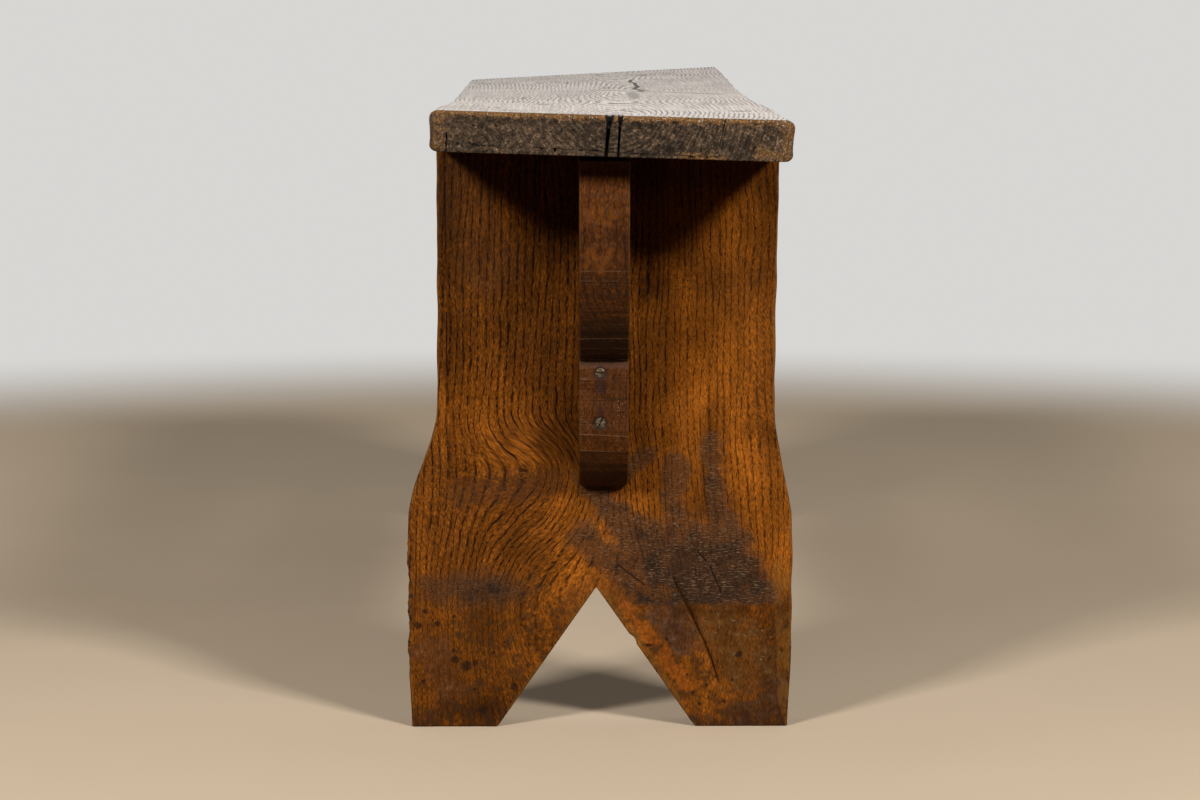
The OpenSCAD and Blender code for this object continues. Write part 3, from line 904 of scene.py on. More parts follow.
# Beetle holes in the near end: place across, depth below the top, and radius
BEETLE_HOLES = ((-96.7, 9.7, 1.1), (-107.7, 23.1, 1.2), (-92.9, 24, 1), (-90.7, 16.5, 0.9), (-81, 9.3, 1),
                (-76.9, 18.9, 1.1), (-87.2, 27, 0.8), (-38, 18.3, 0.8), (-11.9, 17.6, 0.8))
# Dark marks on the top: place along, place across, and half sizes along and across
TOP_MARKS = ((200, -66, 24, 2.2), (458, -82, 16, 2.2), (-254, -30, 36, 1.6),
             (-495, 3, 22, 7), (-265, -56, 24, 1.8), (-318, -111, 13, 9),
             (-419, 45, 15, 8), (-95, 4.5, 13, 6), (373, -50, 11, 8),
             (430, 96, 10, 8), (330, 12, 10, 12), (-30, -75, 30, 2))


def top_colour(p, x, y, down, late, edge, strength):
    """Top painted pale, partly weathered grey and partly painted sheen, with grooves between raised rings
    partly painted as their relief's shade and highlight, a painted shade line past a crest, an old knot and a
    few dark marks.
    """
    noise = partial(p.noise, (x, y, down))
    fibre = noise(120, 1.2, 1.2, 4, 0.62)
    fine = noise(9, 0.6, 0.6)
    blotch = noise(130, 55, 40, 4, 0.55)
    # The dark grooves and pale edges of the rings are partly painted shade and highlight of their relief.
    shade = late * strength * -0.72 + edge * strength * 0.15 + (fibre - 0.5) * 1.3 + (fine - 0.5) * 0.4
    shade = shade + (blotch - 0.5) * -0.4
    # Painted sheen: the grey is set paler than weathered oak alone, for the gloss the top shows at a low
    # angle.
    grey = p.gain((0.702, 0.64, 0.598), shade.most(-0.78) + 1.02)
    # Painted shade: a dark line across the top where a low crest of the worn top hides the surface behind it.
    crest_shade_line = p.from_line(x, y * 1.1, (-2, -11), (118, 105)) + (blotch - 0.5) * 10
    grey.lay(crest_shade_line.step(9, 3) * 0.55, (0.17, 0.12, 0.08))
    oval_x, oval_y = (x - 135) / 80, (y - 24 + (fibre - 0.5) * 3) / 5
    oval = oval_x.away(oval_y).step(1.2, 0.7)
    grey.lay(oval * 0.62, (0.21, 0.195, 0.18))
    knot_y = y - 31 - (x * (1 / 31)).sine() * 2 - (x * (1 / 11)).sine() * 0.9
    knot = (knot_y.size() + (fine - 0.5)).step(2.2, 1.2) * x.step(-300, -270) * x.step(30, 8)
    thick = (knot_y.size() + (fine - 0.5) * 2.6).step(3.6, 2) * x.step(-130, -105) * x.step(75, 30)
    grey.lay(knot.most(thick * 0.75) * 0.95, (0.045, 0.037, 0.033))
    marks = strongest(((x - mark_x) / half_x).away((y - mark_y) / half_y).step(1.2, 0.5)
                      for mark_x, mark_y, half_x, half_y in TOP_MARKS)
    grey.lay(marks * 0.7, (0.14, 0.115, 0.095))
    return grey, fibre, fine, blotch


def end_colour(p, x, y, down, radius, ray):
    """Dark, gritty end grain with rings, rays, ochre rubbed borders and beetle holes, and masks of the
    checks, which are painted black as the shade deep inside them.
    """
    noise = partial(p.noise, (x, y, down))
    cells = partial(p.cells, (x, y, down))
    speck = noise(1.5, 1.5, 1.5, 3, 0.7)
    coarse = noise(4.2, 4.2, 4.2, 3, 0.6)
    patch = noise(30, 26, 12, 3, 0.6)
    ring_share = y.step(-60, 10) * 0.8 + 0.2
    tone = y.step(0, 90) * 0.26 + (speck - 0.5) * 4.8 + (coarse - 0.5) * 4.6
    tone = tone + (ray - 0.5) * 1.4 + (patch - 0.5) * 1.6
    thin = (radius / END_RING + (coarse - 0.5) * 1.6).part()
    tone = tone - thin.step(0.3, 0.8) * thin.step(1, 0.9) * ring_share * 0.62
    dusk = p.from_line(y, down, (15, 27), (48, 20)).bell(4).most((y - 96).bell(9) * (down - 19).bell(7))
    grain = p.gain((0.062, 0.039, 0.023), (tone - dusk * 0.55).power())
    pits = cells(1.7, 1.7, 1.7).step(0.31, 0.21) * coarse.step(0.55, 0.47)
    grain.lay(pits * 0.8, (0.011, 0.007, 0.004))
    chips = cells(2.1, 2.1, 2.1, shift=9).step(0.2, 0.12) * coarse.step(0.5, 0.6)
    grain.lay(chips * 0.75, (0.33, 0.2, 0.1))
    near_top, near_low = down.step(8, 1.5), down.step(SEAT_T - 4, SEAT_T)
    near_left, near_right = y.step(-106, -121), y.step(110, 122)
    low_right = p.from_line(y, down, (50, 28), (76, 28.5)).bell(5)
    low_corner = p.from_line(y, down, (104, 23), (124, 27)).bell(6)
    flame = noise(8, 5, 3.4, 4, 0.7)
    border = strongest((near_top, near_low * 0.5, near_left * 0.85, near_right, low_right, low_corner))
    ochre = (border + (flame - 0.5) * 3).step(0.58, 1)
    grain.lay(ochre * 0.72, p.gain((0.185, 0.092, 0.031), ((speck - 0.5) * 5).power()))
    holes = p.spots(y + (coarse - 0.5) * 1.6, down + (speck - 0.5) * 1.2, BEETLE_HOLES)
    grain.lay(holes * 0.92, (0.008, 0.005, 0.004))
    # Masks of the checks, painted near black in seat_paint as the shade deep inside them.
    plank_y = y - down * math.tan(NEAR_TILT)
    cracks = []
    for middle, lean, width, high, low, _ in CHECKS:
        off = (plank_y - middle + (down - SEAT_T / 2) * lean + (coarse - 0.5) * 0.9).size()
        off = off - down.step(7, 1) * (width * 0.6)
        ends = down.step(low + 1.5, low - 1.5) * down.step(high - 1.5, high + 1.5)
        cracks.append(off.step(width * 0.68, width * 0.45) * ends)
    return grain, speck, coarse, strongest(cracks) * x.step(SEAT_L / 2 - GROOVE_L, SEAT_L / 2 - GROOVE_L + 4)


def seat_paint():
    """Weathered oak of the plank: a top painted pale, partly painted sheen, with raised rings, and dark end
    grain with rings and rays.
    """
    p = Paint("weathered_seat")
    x, y, z = p.x, p.y, p.z
    slope = (math.tan(NEAR_TILT) - math.tan(FAR_TILT)) / SEAT_L
    mean = (math.tan(NEAR_TILT) + math.tan(FAR_TILT)) / 2
    down = y * (x * slope + mean) - z + SEAT_H
    noise = partial(p.noise, (x, y, down))
    top = down.step(9, 4)
    end = x.size().step(SEAT_L / 2 - 6.5, SEAT_L / 2 - 4.5)
    # The pith wanders sideways and up and down along the plank, in three waves between low ridges
    bulge = (x + 10).bell(216) * 30
    wander = (x - 205).bell(92) * -13 + (x + 300).bell(130) * y.step(20, -40) * 11
    wander = wander - (x - 470) * x.step(385, 415) * 0.075
    wander = wander - (x + 300) * y.step(0, 60) * x.step(20, -20) * 0.03
    drift = (noise(150, 70, 60) - 0.5) * 11
    across = y - 8 - bulge - wander - drift
    # and sinks from 13 mm above the near end to 39 mm and back, so that the rings close into arcs
    above = down + 26 - ((x - SEAT_L / 2) * (1 / 92) + math.pi / 2).sine() * 13
    radius = across.away(above)
    uneven = noise(60, 24, 24, 3) * 1.3
    phase = (radius / TOP_RING + uneven * 1.3).part()
    late = phase.step(0.45, 0.86) * phase.step(1, 0.93)
    edge = phase.step(0.8, 0.93) * phase.step(1, 0.97)
    strength = noise(90, 40, 40).step(0.3, 0.62) * 0.7 + 0.3
    smooth_band = (x - y * 1.1 - 9).bell(24).most((x - y * 0.5 - 395).bell(14))
    strength = strength * (smooth_band * -0.75 + 1)
    grey, fibre, fine, blotch = top_colour(p, x, y, down, late, edge, strength)
    # Long sides and underside: browner
    side_shade = late * -0.35 + (fibre - 0.5) * 1.6 + (fine - 0.5) * 0.8 + (blotch - 0.5) * 0.8
    brown = p.gain((0.15, 0.085, 0.042), side_shade + 1.05)
    rubbed_side = noise(40, 8, 8, 3, 0.6).step(0.42, 0.62)
    brown.lay(rubbed_side * 0.4, (0.24, 0.125, 0.05))
    colour = p.mix(top, brown, grey)
    ray = p.noise((across / (above / 9 + 1.2), radius, x), 1, 30, 9)
    grain, speck, coarse, cracks = end_colour(p, x, y, down, radius, ray)
    colour.lay(end, grain)
    # Orange flecks where the end's top arris is rubbed, and white flecks along it that are painted glints of
    # light
    rub = noise(7, 5, 4, 4, 0.7).step(0.42, 0.58)
    worn = p.wear(0.35, 0.8) * end * rub
    colour.lay(worn * 0.6, p.gain((0.21, 0.097, 0.028), ((speck - 0.5) * 4.4).power()))
    # Painted highlight: small white glints on the top arris of the end.
    fleck = noise(2.2, 2.2, 2.2).step(0.63, 0.69)
    colour.lay(fleck * p.wear(0.3, 0.7) * end * 0.8, (0.5, 0.42, 0.34))
    # Painted shade: the checks, and their grooves in the top and bottom near the end, are painted near black
    # for the shade deep inside them.
    colour.lay(cracks, (0.006, 0.004, 0.003))
    height = late * 0.45 + fibre * 0.35 + fine * 0.15 + (speck + coarse * 0.8) * end
    rough = late * -0.08 + 0.55 + blotch * 0.1 + end * 0.2
    return p.finish(colour, rough, height, 0.9, specular=0.15)


# Spacing of the rings across an oak board
ROW_PITCH = 5
# How far the oil has darkened the legs and brackets
OILED = 0.82
# How far the far leg's grain lies from the near one's in the same noise
FAR_GRAIN = 340


def oak(p, u, v, x, tint, spread=1, lines=1, pores=1):
    """Oiled oak: colour, height and roughness from places across the grain, along it, and deep."""
    noise = partial(p.noise, (u, v, x))
    cells = partial(p.cells, (u, v, x))
    speckle = noise(0.8, 3.4, 0.8, 2, 0.55)
    streak = noise(1.9, 19, 1.9)
    broad = noise(13, 85, 13, 3)
    gather = noise(24, 70, 24)
    # Rows of thin pores, broken along the grain, on the dark early wood of each ring
    phase = (u / ROW_PITCH + x * 0.09 + (broad - 0.5) * 1.6).part()
    jitter = noise(6, 13, 6, 1) - 0.5
    from_row = ((phase - 0.5) * ROW_PITCH + jitter * 1.9).size()
    broken = noise(2.4, 5.5, 2.4)
    row = from_row.step(1.5, 0.2) * (gather.step(0.3, 0.62) * 0.8 + 0.2)
    line = from_row.step(0.62, 0.22) * broken.step(0.44, 0.56) * lines
    short_pore = cells(0.95, 3.6, 0.95, shift=7).step(0.36, 0.24) * broken.step(0.62, 0.48)
    pore = line.most(short_pore * (row * 0.5 + 0.4)) * pores
    light = (speckle - 0.5) * 3.2 + (streak - 0.5) * lines * 1.3 + (broad - 0.5) * 1.2
    light = light * spread - row * lines * 0.34
    level = light.power() * (pore * -0.82 + 1)
    height = speckle * 0.3 + streak * 0.2 + row * -0.2 + pore * -0.7
    rough = broad * 0.12 + 0.42
    return p.gain(tint, level), height, rough


# Dark spots low on the near leg: place across, height, and radius
FOOT_SPOTS = ((-136.9, 87, 2), (-128, 78, 2.4), (-142.1, 76.5, 2.9), (-115.4, 83.2, 1.4),
              (-64.4, 81, 1.5), (-115.9, 57.7, 1.6), (-114.9, 50.6, 3.3), (-106.2, 46.2, 4.2),
              (-100.1, 48.6, 2.4), (-71.2, 30.3, 3.4), (-94.3, 12.7, 3.6), (-100.2, 28.3, 1.4),
              (-138.2, 34.8, 1.8), (-78, 64, 1), (-104, 92, 1), (-86, 56, 1.1), (-60, 62, 1.6),
              (72, 31, 1.3), (62, 26, 1.5), (91, 35, 1.3), (67, 17, 1.6), (84.5, 19, 1.6),
              (57, 39, 1.2), (96, 54.5, 2.8), (38, 41, 1.2), (50, 15, 1.3), (42, 66, 1.6))
ORANGE_OAK, DARK_OAK = (0.232, 0.0675, 0.0056), (0.052, 0.0225, 0.0075)
# Broad lighter and darker zones of a leg's face: line between two places (y, z), half width, and gain. The
# dark strip at 412 mm on the narrow side and the dark band at 325 to 352 mm beside the bracket are painted
# shade of the seat's overhang.
LEG_TONES = (
    ((-92, 240), (-84, 226), 25, 0.38), ((-58, 200), (-34, 180), 11, 1),
    ((62, 275), (64, 245), 14, 0.15), ((41, 330), (37, 248), 5, -0.38),
    ((24, 330), (22, 205), 4.5, -0.4), ((-28, 112), (-50, 84), 9, 0.45),
    ((-84, 372), (-60, 325), 16, 0.3), ((-108, 345), (-104, 292), 18, -0.12),
    ((-119, 250), (-121, 205), 8, 0.24), ((73, 236), (71, 162), 6.5, -0.72),
    ((102, 222), (122, 219), 8, -0.45), ((60, 352), (98, 332), 22, -0.4),
    ((114, 182), (122, 142), 10, 0.45), ((-90, 92), (-82, 18), 11, -0.22),
    ((68, 60), (80, 36), 12, 0.4), ((104, 266), (116, 258), 10, 0.2),
    ((-122, 408), (-118, 375), 9, -0.22), ((56, 240), (58, 160), 8, -0.42),
    ((28, 352), (29, 325), 8, -0.6), ((30, 412), (94, 412), 18, -0.85),
    ((86, 330), (98, 250), 10, -0.2), ((50, 87), (100, 87), 4.5, -0.45),
    ((-73, 262), (-55, 228), 15, 0.42), ((-108, 236), (-104, 205), 9, 0.24),
    ((-77, 208), (-75, 202), 7, -0.26), ((-124, 12), (-88, 12), 9, -0.42),
    ((-112, 400), (-104, 360), 9, 0.16), ((-120, 118), (-134, 96), 9, -0.16),
)
# Thin cracks and scratches on the near leg: line between two places, and half width
LEG_LINES = (
    ((65, 131.5), (71, 125), 0.5), ((74, 120.5), (82, 101.5), 0.5),
    ((5.6, 122), (25.6, 106.6), 0.5), ((-119.7, 309), (-119.9, 266), 0.45),
    ((25, 61.6), (30.4, 61.4), 0.9), ((-120.5, 405), (-120, 345), 0.4),
)


def leg_patch(p, outer, side):
    """How much a point lies in the torn dark patch beside the notch, and in the smudge across from it."""
    x, y, z = p.x, p.y, p.z
    blot, noise = partial(p.blot, y, z), partial(p.noise, (y, z, x))
    rag = noise(13, 46, 30, 4, 0.62)
    edge = noise(18, 18, 18, 4, 0.65)
    base = (z + (edge - 0.5) * 6).step(89, 95)
    right = (y + z * 0.46 - 168 + (edge - 0.5) * 34).step(9, -9)
    left = (y - 18 + (edge - 0.5) * 44).step(-12, 10)
    top = (z + (rag - 0.5) * 90).step(170, 142)
    body = right * left * top
    lobes = blot((46, 150), (48, 200), 9, edge, 26).most(
        blot((82, 140), (74, 212), 8, edge, 22))
    arms = blot((-13, 187), (30, 122), 12, edge, 26).most(
        blot((-20, 143), (30, 100), 12, edge, 22) * 0.95)
    arms = arms.most(blot((10, 192), (28, 202), 7, edge, 16) * 0.8)
    island = blot((8, 178), (31, 165), 8, rag, 14).most(
        blot((26, 104), (42, 99), 6, edge, 16) * 0.4)
    patch = body.most(lobes * 0.76).most(arms * 0.9) * base * outer * (island * -0.85 + 1)
    wide, tall = (y + 99) / 50, (z - 104) / 16
    spread = wide.away(tall) + (edge - 0.5) * 1.7
    smudge = spread.step(1.2, 0.3) * outer
    if side < 0:
        return patch * 0.35, smudge * 0.4
    return patch, smudge


def foot_colours(p, colour, mottle, outer):
    """Stains of the feet: brown mottling, purple and orange zones, dark corners and floor dirt."""
    x, y, z = p.x, p.y, p.z
    blot, noise = partial(p.blot, y, z), partial(p.noise, (y, z, x))
    low = z.step(112, 74)
    haze = noise(16, 18, 16, 4, 0.62)
    fleck = noise(2.4, 4, 2.4, 3, 0.62)
    colour.lay(low * mottle.step(0.44, 0.62) * 0.72, DARK_OAK)
    purple = blot((40, 84), (56, 66), 13, haze, 30) * low
    dusk = ((mottle - 0.5) * 4.6 + (fleck - 0.5) * 3.4 - 0.1).power()
    colour.lay(purple * 0.75, p.gain((0.088, 0.041, 0.023), dusk))
    olive = blot((76, 78), (104, 44), 20, haze, 44) * low
    colour.lay(olive * 0.55, p.gain((0.104, 0.046, 0.013), dusk))
    ember = blot((12, 90), (32, 62), 5, mottle, 26).most(
        blot((38, 56), (58, 30), 5, mottle, 26)) * outer
    colour.lay(ember * 0.46, p.gain((0.36, 0.09, 0.01), ((fleck - 0.5) * 3).power()))
    red = blot((-132, 60), (-118, 34), 12, haze, 26) * low
    colour.lay(red * 0.5, p.gain((0.125, 0.043, 0.014), dusk))
    corner = blot((100, 6), (128, 24), 12, haze, 26).most(
        blot((44, 4), (74, 3), 5, haze, 14) * 0.8)
    colour.lay(corner * 0.62, p.gain((0.052, 0.024, 0.012), dusk))
    dirt = z.step(22, 2) * noise(5, 26, 5, 3, 0.6).step(0.38, 0.62)
    colour.lay(dirt * 0.65, (0.034, 0.016, 0.009))
    return low


def leg_grain(p, side, shift):
    """Places across and along a leg's grain, and how much a point lies in the figure round its old knot."""
    x, y, z = p.x, p.y, p.z
    noise = partial(p.noise, (y, z, x), shift=shift)
    knot_y, knot_z, knot_r = (-9, 88, 46) if side > 0 else (12, 96, 40)
    dy, dz = y - knot_y, z - knot_z
    away = (dy * dy + dz * dz + 60).root()
    pull = (dy.step(0, 60) * -0.6 + 1) * knot_r ** 2
    share = (pull / (away * away)).least(0.62)
    # Above the wide foot the grain sweeps in under the bracket, and fans out again over the sweep
    sweep = z.step(92, 186) * z.step(236, 190) * (y + 48).bell(36) * 32
    u = dy * (1 - share) - sweep + (noise(80, 160, 60) - 0.5) * 16 + (noise(15, 60, 15) - 0.5) * 3.6 + shift
    inside = away.step(knot_r * 0.8, knot_r * 0.45) * (z.step(30, 60) * 0.6 + 0.4)
    return u, dz + sweep * 0.5, inside


def leg_level(p, shift):
    """How light the leg is: its narrow side is lighter, the outer strip and foot there are duller, and two of
    its zones are painted shade of the seat's overhang.
    """
    x, y, z = p.x, p.y, p.z
    level = y.step(-60, 70) * 0.75 + 0.57 + z.step(240, 130) * y.step(60, -60) * 0.3
    level = level - y.step(98, 116) * 0.3 - z.step(120, 90) * y.step(0, 60) * 0.5
    level = level - z.step(95, 65) * y.step(0, -60) * 0.08
    # Zones of tone; two of them are painted shade of the seat's overhang, under it and beside the bracket.
    for start, stop, half, gain in LEG_TONES:
        level = level + p.from_line(y, z, start, stop).bell(half) * gain
    tone = p.noise((y, z, x), 38, 60, 38, 3, 0.55, shift)
    return level.most(0.3) * ((tone - 0.5) * 1.7 + 1)


def ray_flecks(p, u, v, colour):
    """Cross ripples of the rays: above the wide foot, high on the narrow side, slanting at both edges."""
    x, y, z = p.x, p.y, p.z
    fleck = p.noise((v, u, x), 1.1, 9, 9)
    zone = (z - 190).bell(34) * y.step(-20, -60)
    zone = zone.most(p.from_line(y, z, (54, 332), (96, 336)).bell(9))
    colour.lay(zone * fleck.step(0.5, 0.62) * 0.4, (0.045, 0.016, 0.006))
    slant = p.noise((y + z * 0.6, z - y * 0.6, x), 2, 9, 5, 3, 0.6)
    zone = (y.step(88, 112) * (z - 270).bell(70)).most(y.step(-92, -112) * (z - 165).bell(45))
    colour.lay(zone * slant.step(0.46, 0.6) * 0.55, (0.07, 0.024, 0.006))


def stained_leg(p, side, colour, mottle, outer):
    """The torn, darkened patch with short pale ripples, partly painted highlights on raised torn fibre, and
    the spots, chips and cracks of the leg.
    """
    x, y, z = p.x, p.y, p.z
    noise = partial(p.noise, (y, z, x))
    patch, smudge = leg_patch(p, outer, side)
    soot, grime = noise(15, 13, 15, 4, 0.6), noise(1.8, 1.1, 1.8, 3, 0.6)
    core = (z - 114).bell(24) * (y - 66).bell(36)
    dark = p.mix((soot - 0.06 + core * 0.24).step(0.4, 0.64), (0.08, 0.033, 0.013), (0.023, 0.016, 0.011))
    dark.dim(((grime - 0.5) * 3.6).power())
    colour.lay((patch * 0.9).most(smudge * 0.94), dark)
    # Pale ripples of torn fibre, partly painted highlights where their raised ridges catch the light.
    tear = noise(4.6, 0.8, 4.6, 2, 0.55)
    torn = patch.most(smudge * 0.3) * noise(17, 13, 17).step(0.3, 0.52)
    colour.lay(torn * tear.step(0.57, 0.64) * 0.75, (0.265, 0.155, 0.078))
    chip = p.cells((y, z, x), 4.6, 3, 4.6).step(0.22, 0.12) * mottle.step(0.46, 0.56)
    colour.lay(chip * p.blot(y, z, (70, 74), (122, 60), 16, soot, 20) * outer * 0.7, (0.3, 0.2, 0.11))
    wobble_y, wobble_z = (soot - 0.5) * 3 + (mottle - 0.5) * 3, (grime - 0.5) * 2.4
    colour.lay(p.spots(y + wobble_y, z + wobble_z, FOOT_SPOTS) * outer * 0.82, (0.02, 0.009, 0.005))
    for start, stop, half in LEG_LINES:
        line = (p.from_line(y, z, start, stop) + (mottle - 0.5) * 1.2).step(half * 1.7, half * 0.7) * outer
        colour.lay(line * 0.85, (0.014, 0.006, 0.003))
    return patch, torn * tear


def rubbed_leg(p, colour):
    """Rubbed arrises, ochre with dark nicks low on the wide side."""
    x, y, z = p.x, p.y, p.z
    rub = p.noise((x, y, z), 9, 9, 16, 3, 0.65)
    colour.lay(p.wear(0.3, 0.9) * rub.step(0.36, 0.58) * 0.6, (0.27, 0.115, 0.022))
    nick = p.noise((x, y, z), 20, 5, 1.6).step(0.5, 0.6)
    nicked = p.wear(0.1, 0.6) * y.step(-135, -142) * z.step(48, 60) * z.step(138, 120)
    colour.lay(nicked * nick * 0.85, (0.022, 0.012, 0.007))


def leg_paint(side):
    """Oiled oak of a leg, seen with its outer face towards +X: grain, figure, stains and wear."""
    p = Paint("near_leg_oak" if side > 0 else "far_leg_oak")
    p.x, p.y = p.x * side, p.y * side
    x, y, z = p.x, p.y, p.z
    shift = 0 if side > 0 else FAR_GRAIN
    noise = partial(p.noise, (y, z, x), shift=shift)
    outer = x.step(LEG_OUT - 6, LEG_OUT - 2)
    u, v, inside = leg_grain(p, side, shift)
    lines = z.step(70, 130) * 0.6 + 0.4 - y.step(20, 50) * 0.35
    calm = y.step(12, 45) * z.step(110, 150)
    colour, height, rough = oak(p, u, v, x, ORANGE_OAK, calm * -0.28 + 1, lines, calm * 0.15 + 1)
    colour.dim(leg_level(p, shift))
    ray_flecks(p, u, v, colour)
    # Smooth, mottled figure inside the parted grain
    figure, mottle = noise(9, 12, 12, 4, 0.6), noise(7.5, 8.5, 7.5, 5, 0.68)
    colour.lay(inside * 0.4, p.mix(figure.step(0.36, 0.66), (0.12, 0.043, 0.013), (0.285, 0.092, 0.013)))
    low = foot_colours(p, colour, mottle, outer)
    colour.lay(p.blot(y, z, (-108, 176), (-42, 184), 12, mottle, 22) * 0.5, (0.062, 0.025, 0.01))
    colour.lay(p.blot(y, z, (-112, 400), (-88, 345), 24, mottle, 18) * 0.28, (0.1, 0.044, 0.02))
    patch, torn = stained_leg(p, side, colour, mottle, outer)
    rubbed_leg(p, colour)
    colour.dim(OILED)
    height = height + torn * 1.2 + low * mottle * 0.5
    return p.finish(colour, rough + patch * 0.1, height, 0.6, specular=0.06)


# Lines across the bracket, from its head down: height, half width, how light each is, and strength. The pale
# ones are saw ridges, partly painted glints where light catches them.
SAW_LINES = (
    (346, 0.35, 0.55, 0.6), (338.9, 0.3, 0.35, 0.5), (337.6, 0.5, 0, 0.6), (328, 2.4, 0, 0.45),
    (320, 0.3, 0.3, 0.5), (316, 0.5, 0, 0.6), (305, 0.3, 0.3, 0.5), (296, 0.4, 0.6, 0.7),
    (292, 0.5, 0, 0.6), (288, 0.4, 0.5, 0.7), (283.8, 0.4, 0.7, 0.8), (280.8, 0.5, 0, 0.6),
    (278.2, 0.7, 1, 0.85),
)
# Darker and lighter levels of the bracket: height, half width and gain; the lighter band at 284 mm is painted
# light, lifting the low belly just above the ledge out of the shade under the head.
BRACKET_TONES = ((369, 9, -0.42), (350.5, 4.5, -0.3), (342, 4.5, -0.3), (284, 6, 0.5),
                 (218, 5, -0.2), (262, 18, -0.1))
# Scratches on the nose: height, middle, half length, and how light each is
NOSE_SCRATCHES = ((265.2, -17, 6, 0.8), (250.6, 9, 9, 0), (263.6, -14, 7, 0))
# Orange figure low on the bracket's head: lines between two places (y, z)
BRACKET_FIGURE = (((-9.5, 361), (-3.1, 346)), ((4.5, 361), (-3.1, 346)), ((-11, 352), (-14, 349)))


def between(dark, pale, light):
    """A fixed colour between two others."""
    return tuple(low + (high - low) * light for low, high in zip(dark, pale))


def bracket_head(p, y, mottle, colour):
    """Orange flames on the bracket's head with a V of orange figure under them, and its dark belly."""
    x, z = p.x, p.z
    noise = partial(p.noise, (y, z, x))
    warm = (z - 386).bell(9) * noise(3.4, 9, 20, 3, 0.6).step(0.46, 0.62)
    for start, stop in BRACKET_FIGURE:
        warm = warm.most((p.from_line(y, z, start, stop) + (mottle - 0.5) * 8).step(3.2, 0.2) * 0.8)
    colour.lay(warm * 0.55, (0.2, 0.058, 0.006))
    blue = (z - 388).bell(12) * noise(2.2, 4.4, 20, 3, 0.6).step(0.54, 0.66)
    colour.lay(blue * 0.4, (0.085, 0.052, 0.048))
    belly = z.step(346, 338) * z.step(NOSE_TOP, NOSE_TOP + 2)
    colour.dim(belly * (z.step(332, 290) * -0.3 - 0.42) + 1)


def bracket_lines(p, y, colour):
    """Saw marks and lines across the belly, the pale ones partly painted glints on their ridges; gives the
    saw marks' height, the lines' sway and their fading.
    """
    x, z = p.x, p.z
    noise = partial(p.noise, (y, z, x))
    saw, sawn = noise(50, 0.8, 50), z.step(352, 338)
    # Pale saw streaks are partly painted glints on the ridges.
    colour.lay(sawn * saw.step(0.6, 0.72) * 0.3, (0.15, 0.08, 0.04))
    colour.lay(sawn * saw.step(0.42, 0.3) * 0.5, (0.015, 0.006, 0.003))
    sway = (noise(18, 400, 400) - 0.5) * 2.2
    faded = noise(8, 5, 60, 3).step(0.32, 0.56)
    # Pale lines are partly painted glints on the ridges of the saw marks.
    for line_z, half, light, share in SAW_LINES:
        line = (z + sway - line_z).size().step(half * 1.5, half * 0.5) * faded
        colour.lay(line * share, between((0.012, 0.005, 0.002), (0.24, 0.12, 0.06), light))
    return sawn * saw, sway, faded


def bracket_nose(p, y, mottle, sway, faded, colour):
    """The redder nose, scratched and specked; its ledge greyed as painted partial shade and sheen, its
    arrises pale as rubbed wear and painted highlight, and the heel darkened as painted shade.
    """
    x, z = p.x, p.z
    nose = z.step(NOSE_TOP, NOSE_TOP - LEDGE_FALL) * z.step(NOSE_LOW - 1.5, NOSE_LOW)
    grit = p.cells((y, z, x), 1.5, 1.5, 1.5).step(0.24, 0.14)
    grit = grit * p.blot(y, z, (11, 247), (14, 237), 4, mottle, 6).most(
        p.blot(y, z, (-16, 238), (-12, 227), 2.5, mottle, 6))
    colour.lay(nose * mottle.step(0.42, 0.64) * 0.35, (0.062, 0.024, 0.01))
    colour.lay(nose * grit * 0.8, (0.34, 0.2, 0.11))
    # Painted light: the ledge is greyed and darkened for the partial shade under the head and the grey sheen
    # of its upward face.
    ledge = z.step(NOSE_TOP - 4, NOSE_TOP - 2.5) * z.step(NOSE_TOP + 2, NOSE_TOP + 0.5)
    colour.lay(ledge * 0.6, (0.075, 0.046, 0.035))
    # Painted shade: the downward-facing heel is darkened, most towards its bottom.
    heel = z.step(NOSE_LOW - FACET_H + 1, NOSE_LOW - FACET_H - 0.5)
    colour.dim(heel * (z.step(184, 206) * 0.34 - 0.46) + 1)
    for line_z, middle, half_y, light in NOSE_SCRATCHES:
        line = (z - line_z).size().step(0.8, 0.3) * (y - middle).size().step(half_y, half_y - 2)
        colour.lay(line * 0.6, between((0.012, 0.006, 0.003), (0.212, 0.106, 0.053), light))
    # Pale arrises of the nose: partly rubbed wear, partly painted highlights where the edges catch the light.
    for arris_z, half in ((NOSE_LOW, 0.32), (NOSE_LOW - FACET_H, 0.28)):
        arris = (z + y * 0.045 + sway * 0.3 - arris_z).size().step(half * 1.6, half * 0.5)
        colour.lay(arris * (faded * 0.5 + 0.5) * 0.5, (0.24, 0.13, 0.07))
    return grit * nose


def screw_rings_and_drips(p, mottle, colour):
    """Dark rings round the screw heads, over their hollows, and drips below them."""
    y, z = p.y - SCREW_Y, p.z
    front = p.x.step(LEG_OUT + HEEL_REACH, LEG_OUT + NECK_REACH)
    for screw_z, head_d in SCREWS.values():
        ring = y.away(z - screw_z).step(head_d / 2 + 2.6, head_d / 2 + 0.1)
        colour.lay(ring * 0.75 * front, (0.02, 0.011, 0.008))
    drip = p.blot(y, z, (0, 266), (0.6, 258), 3, mottle, 5).most(
        p.blot(y, z, (0, 243.5), (0, 240.5), 1.8, mottle, 2))
    colour.lay(drip * 0.6 * front, (0.022, 0.014, 0.014))


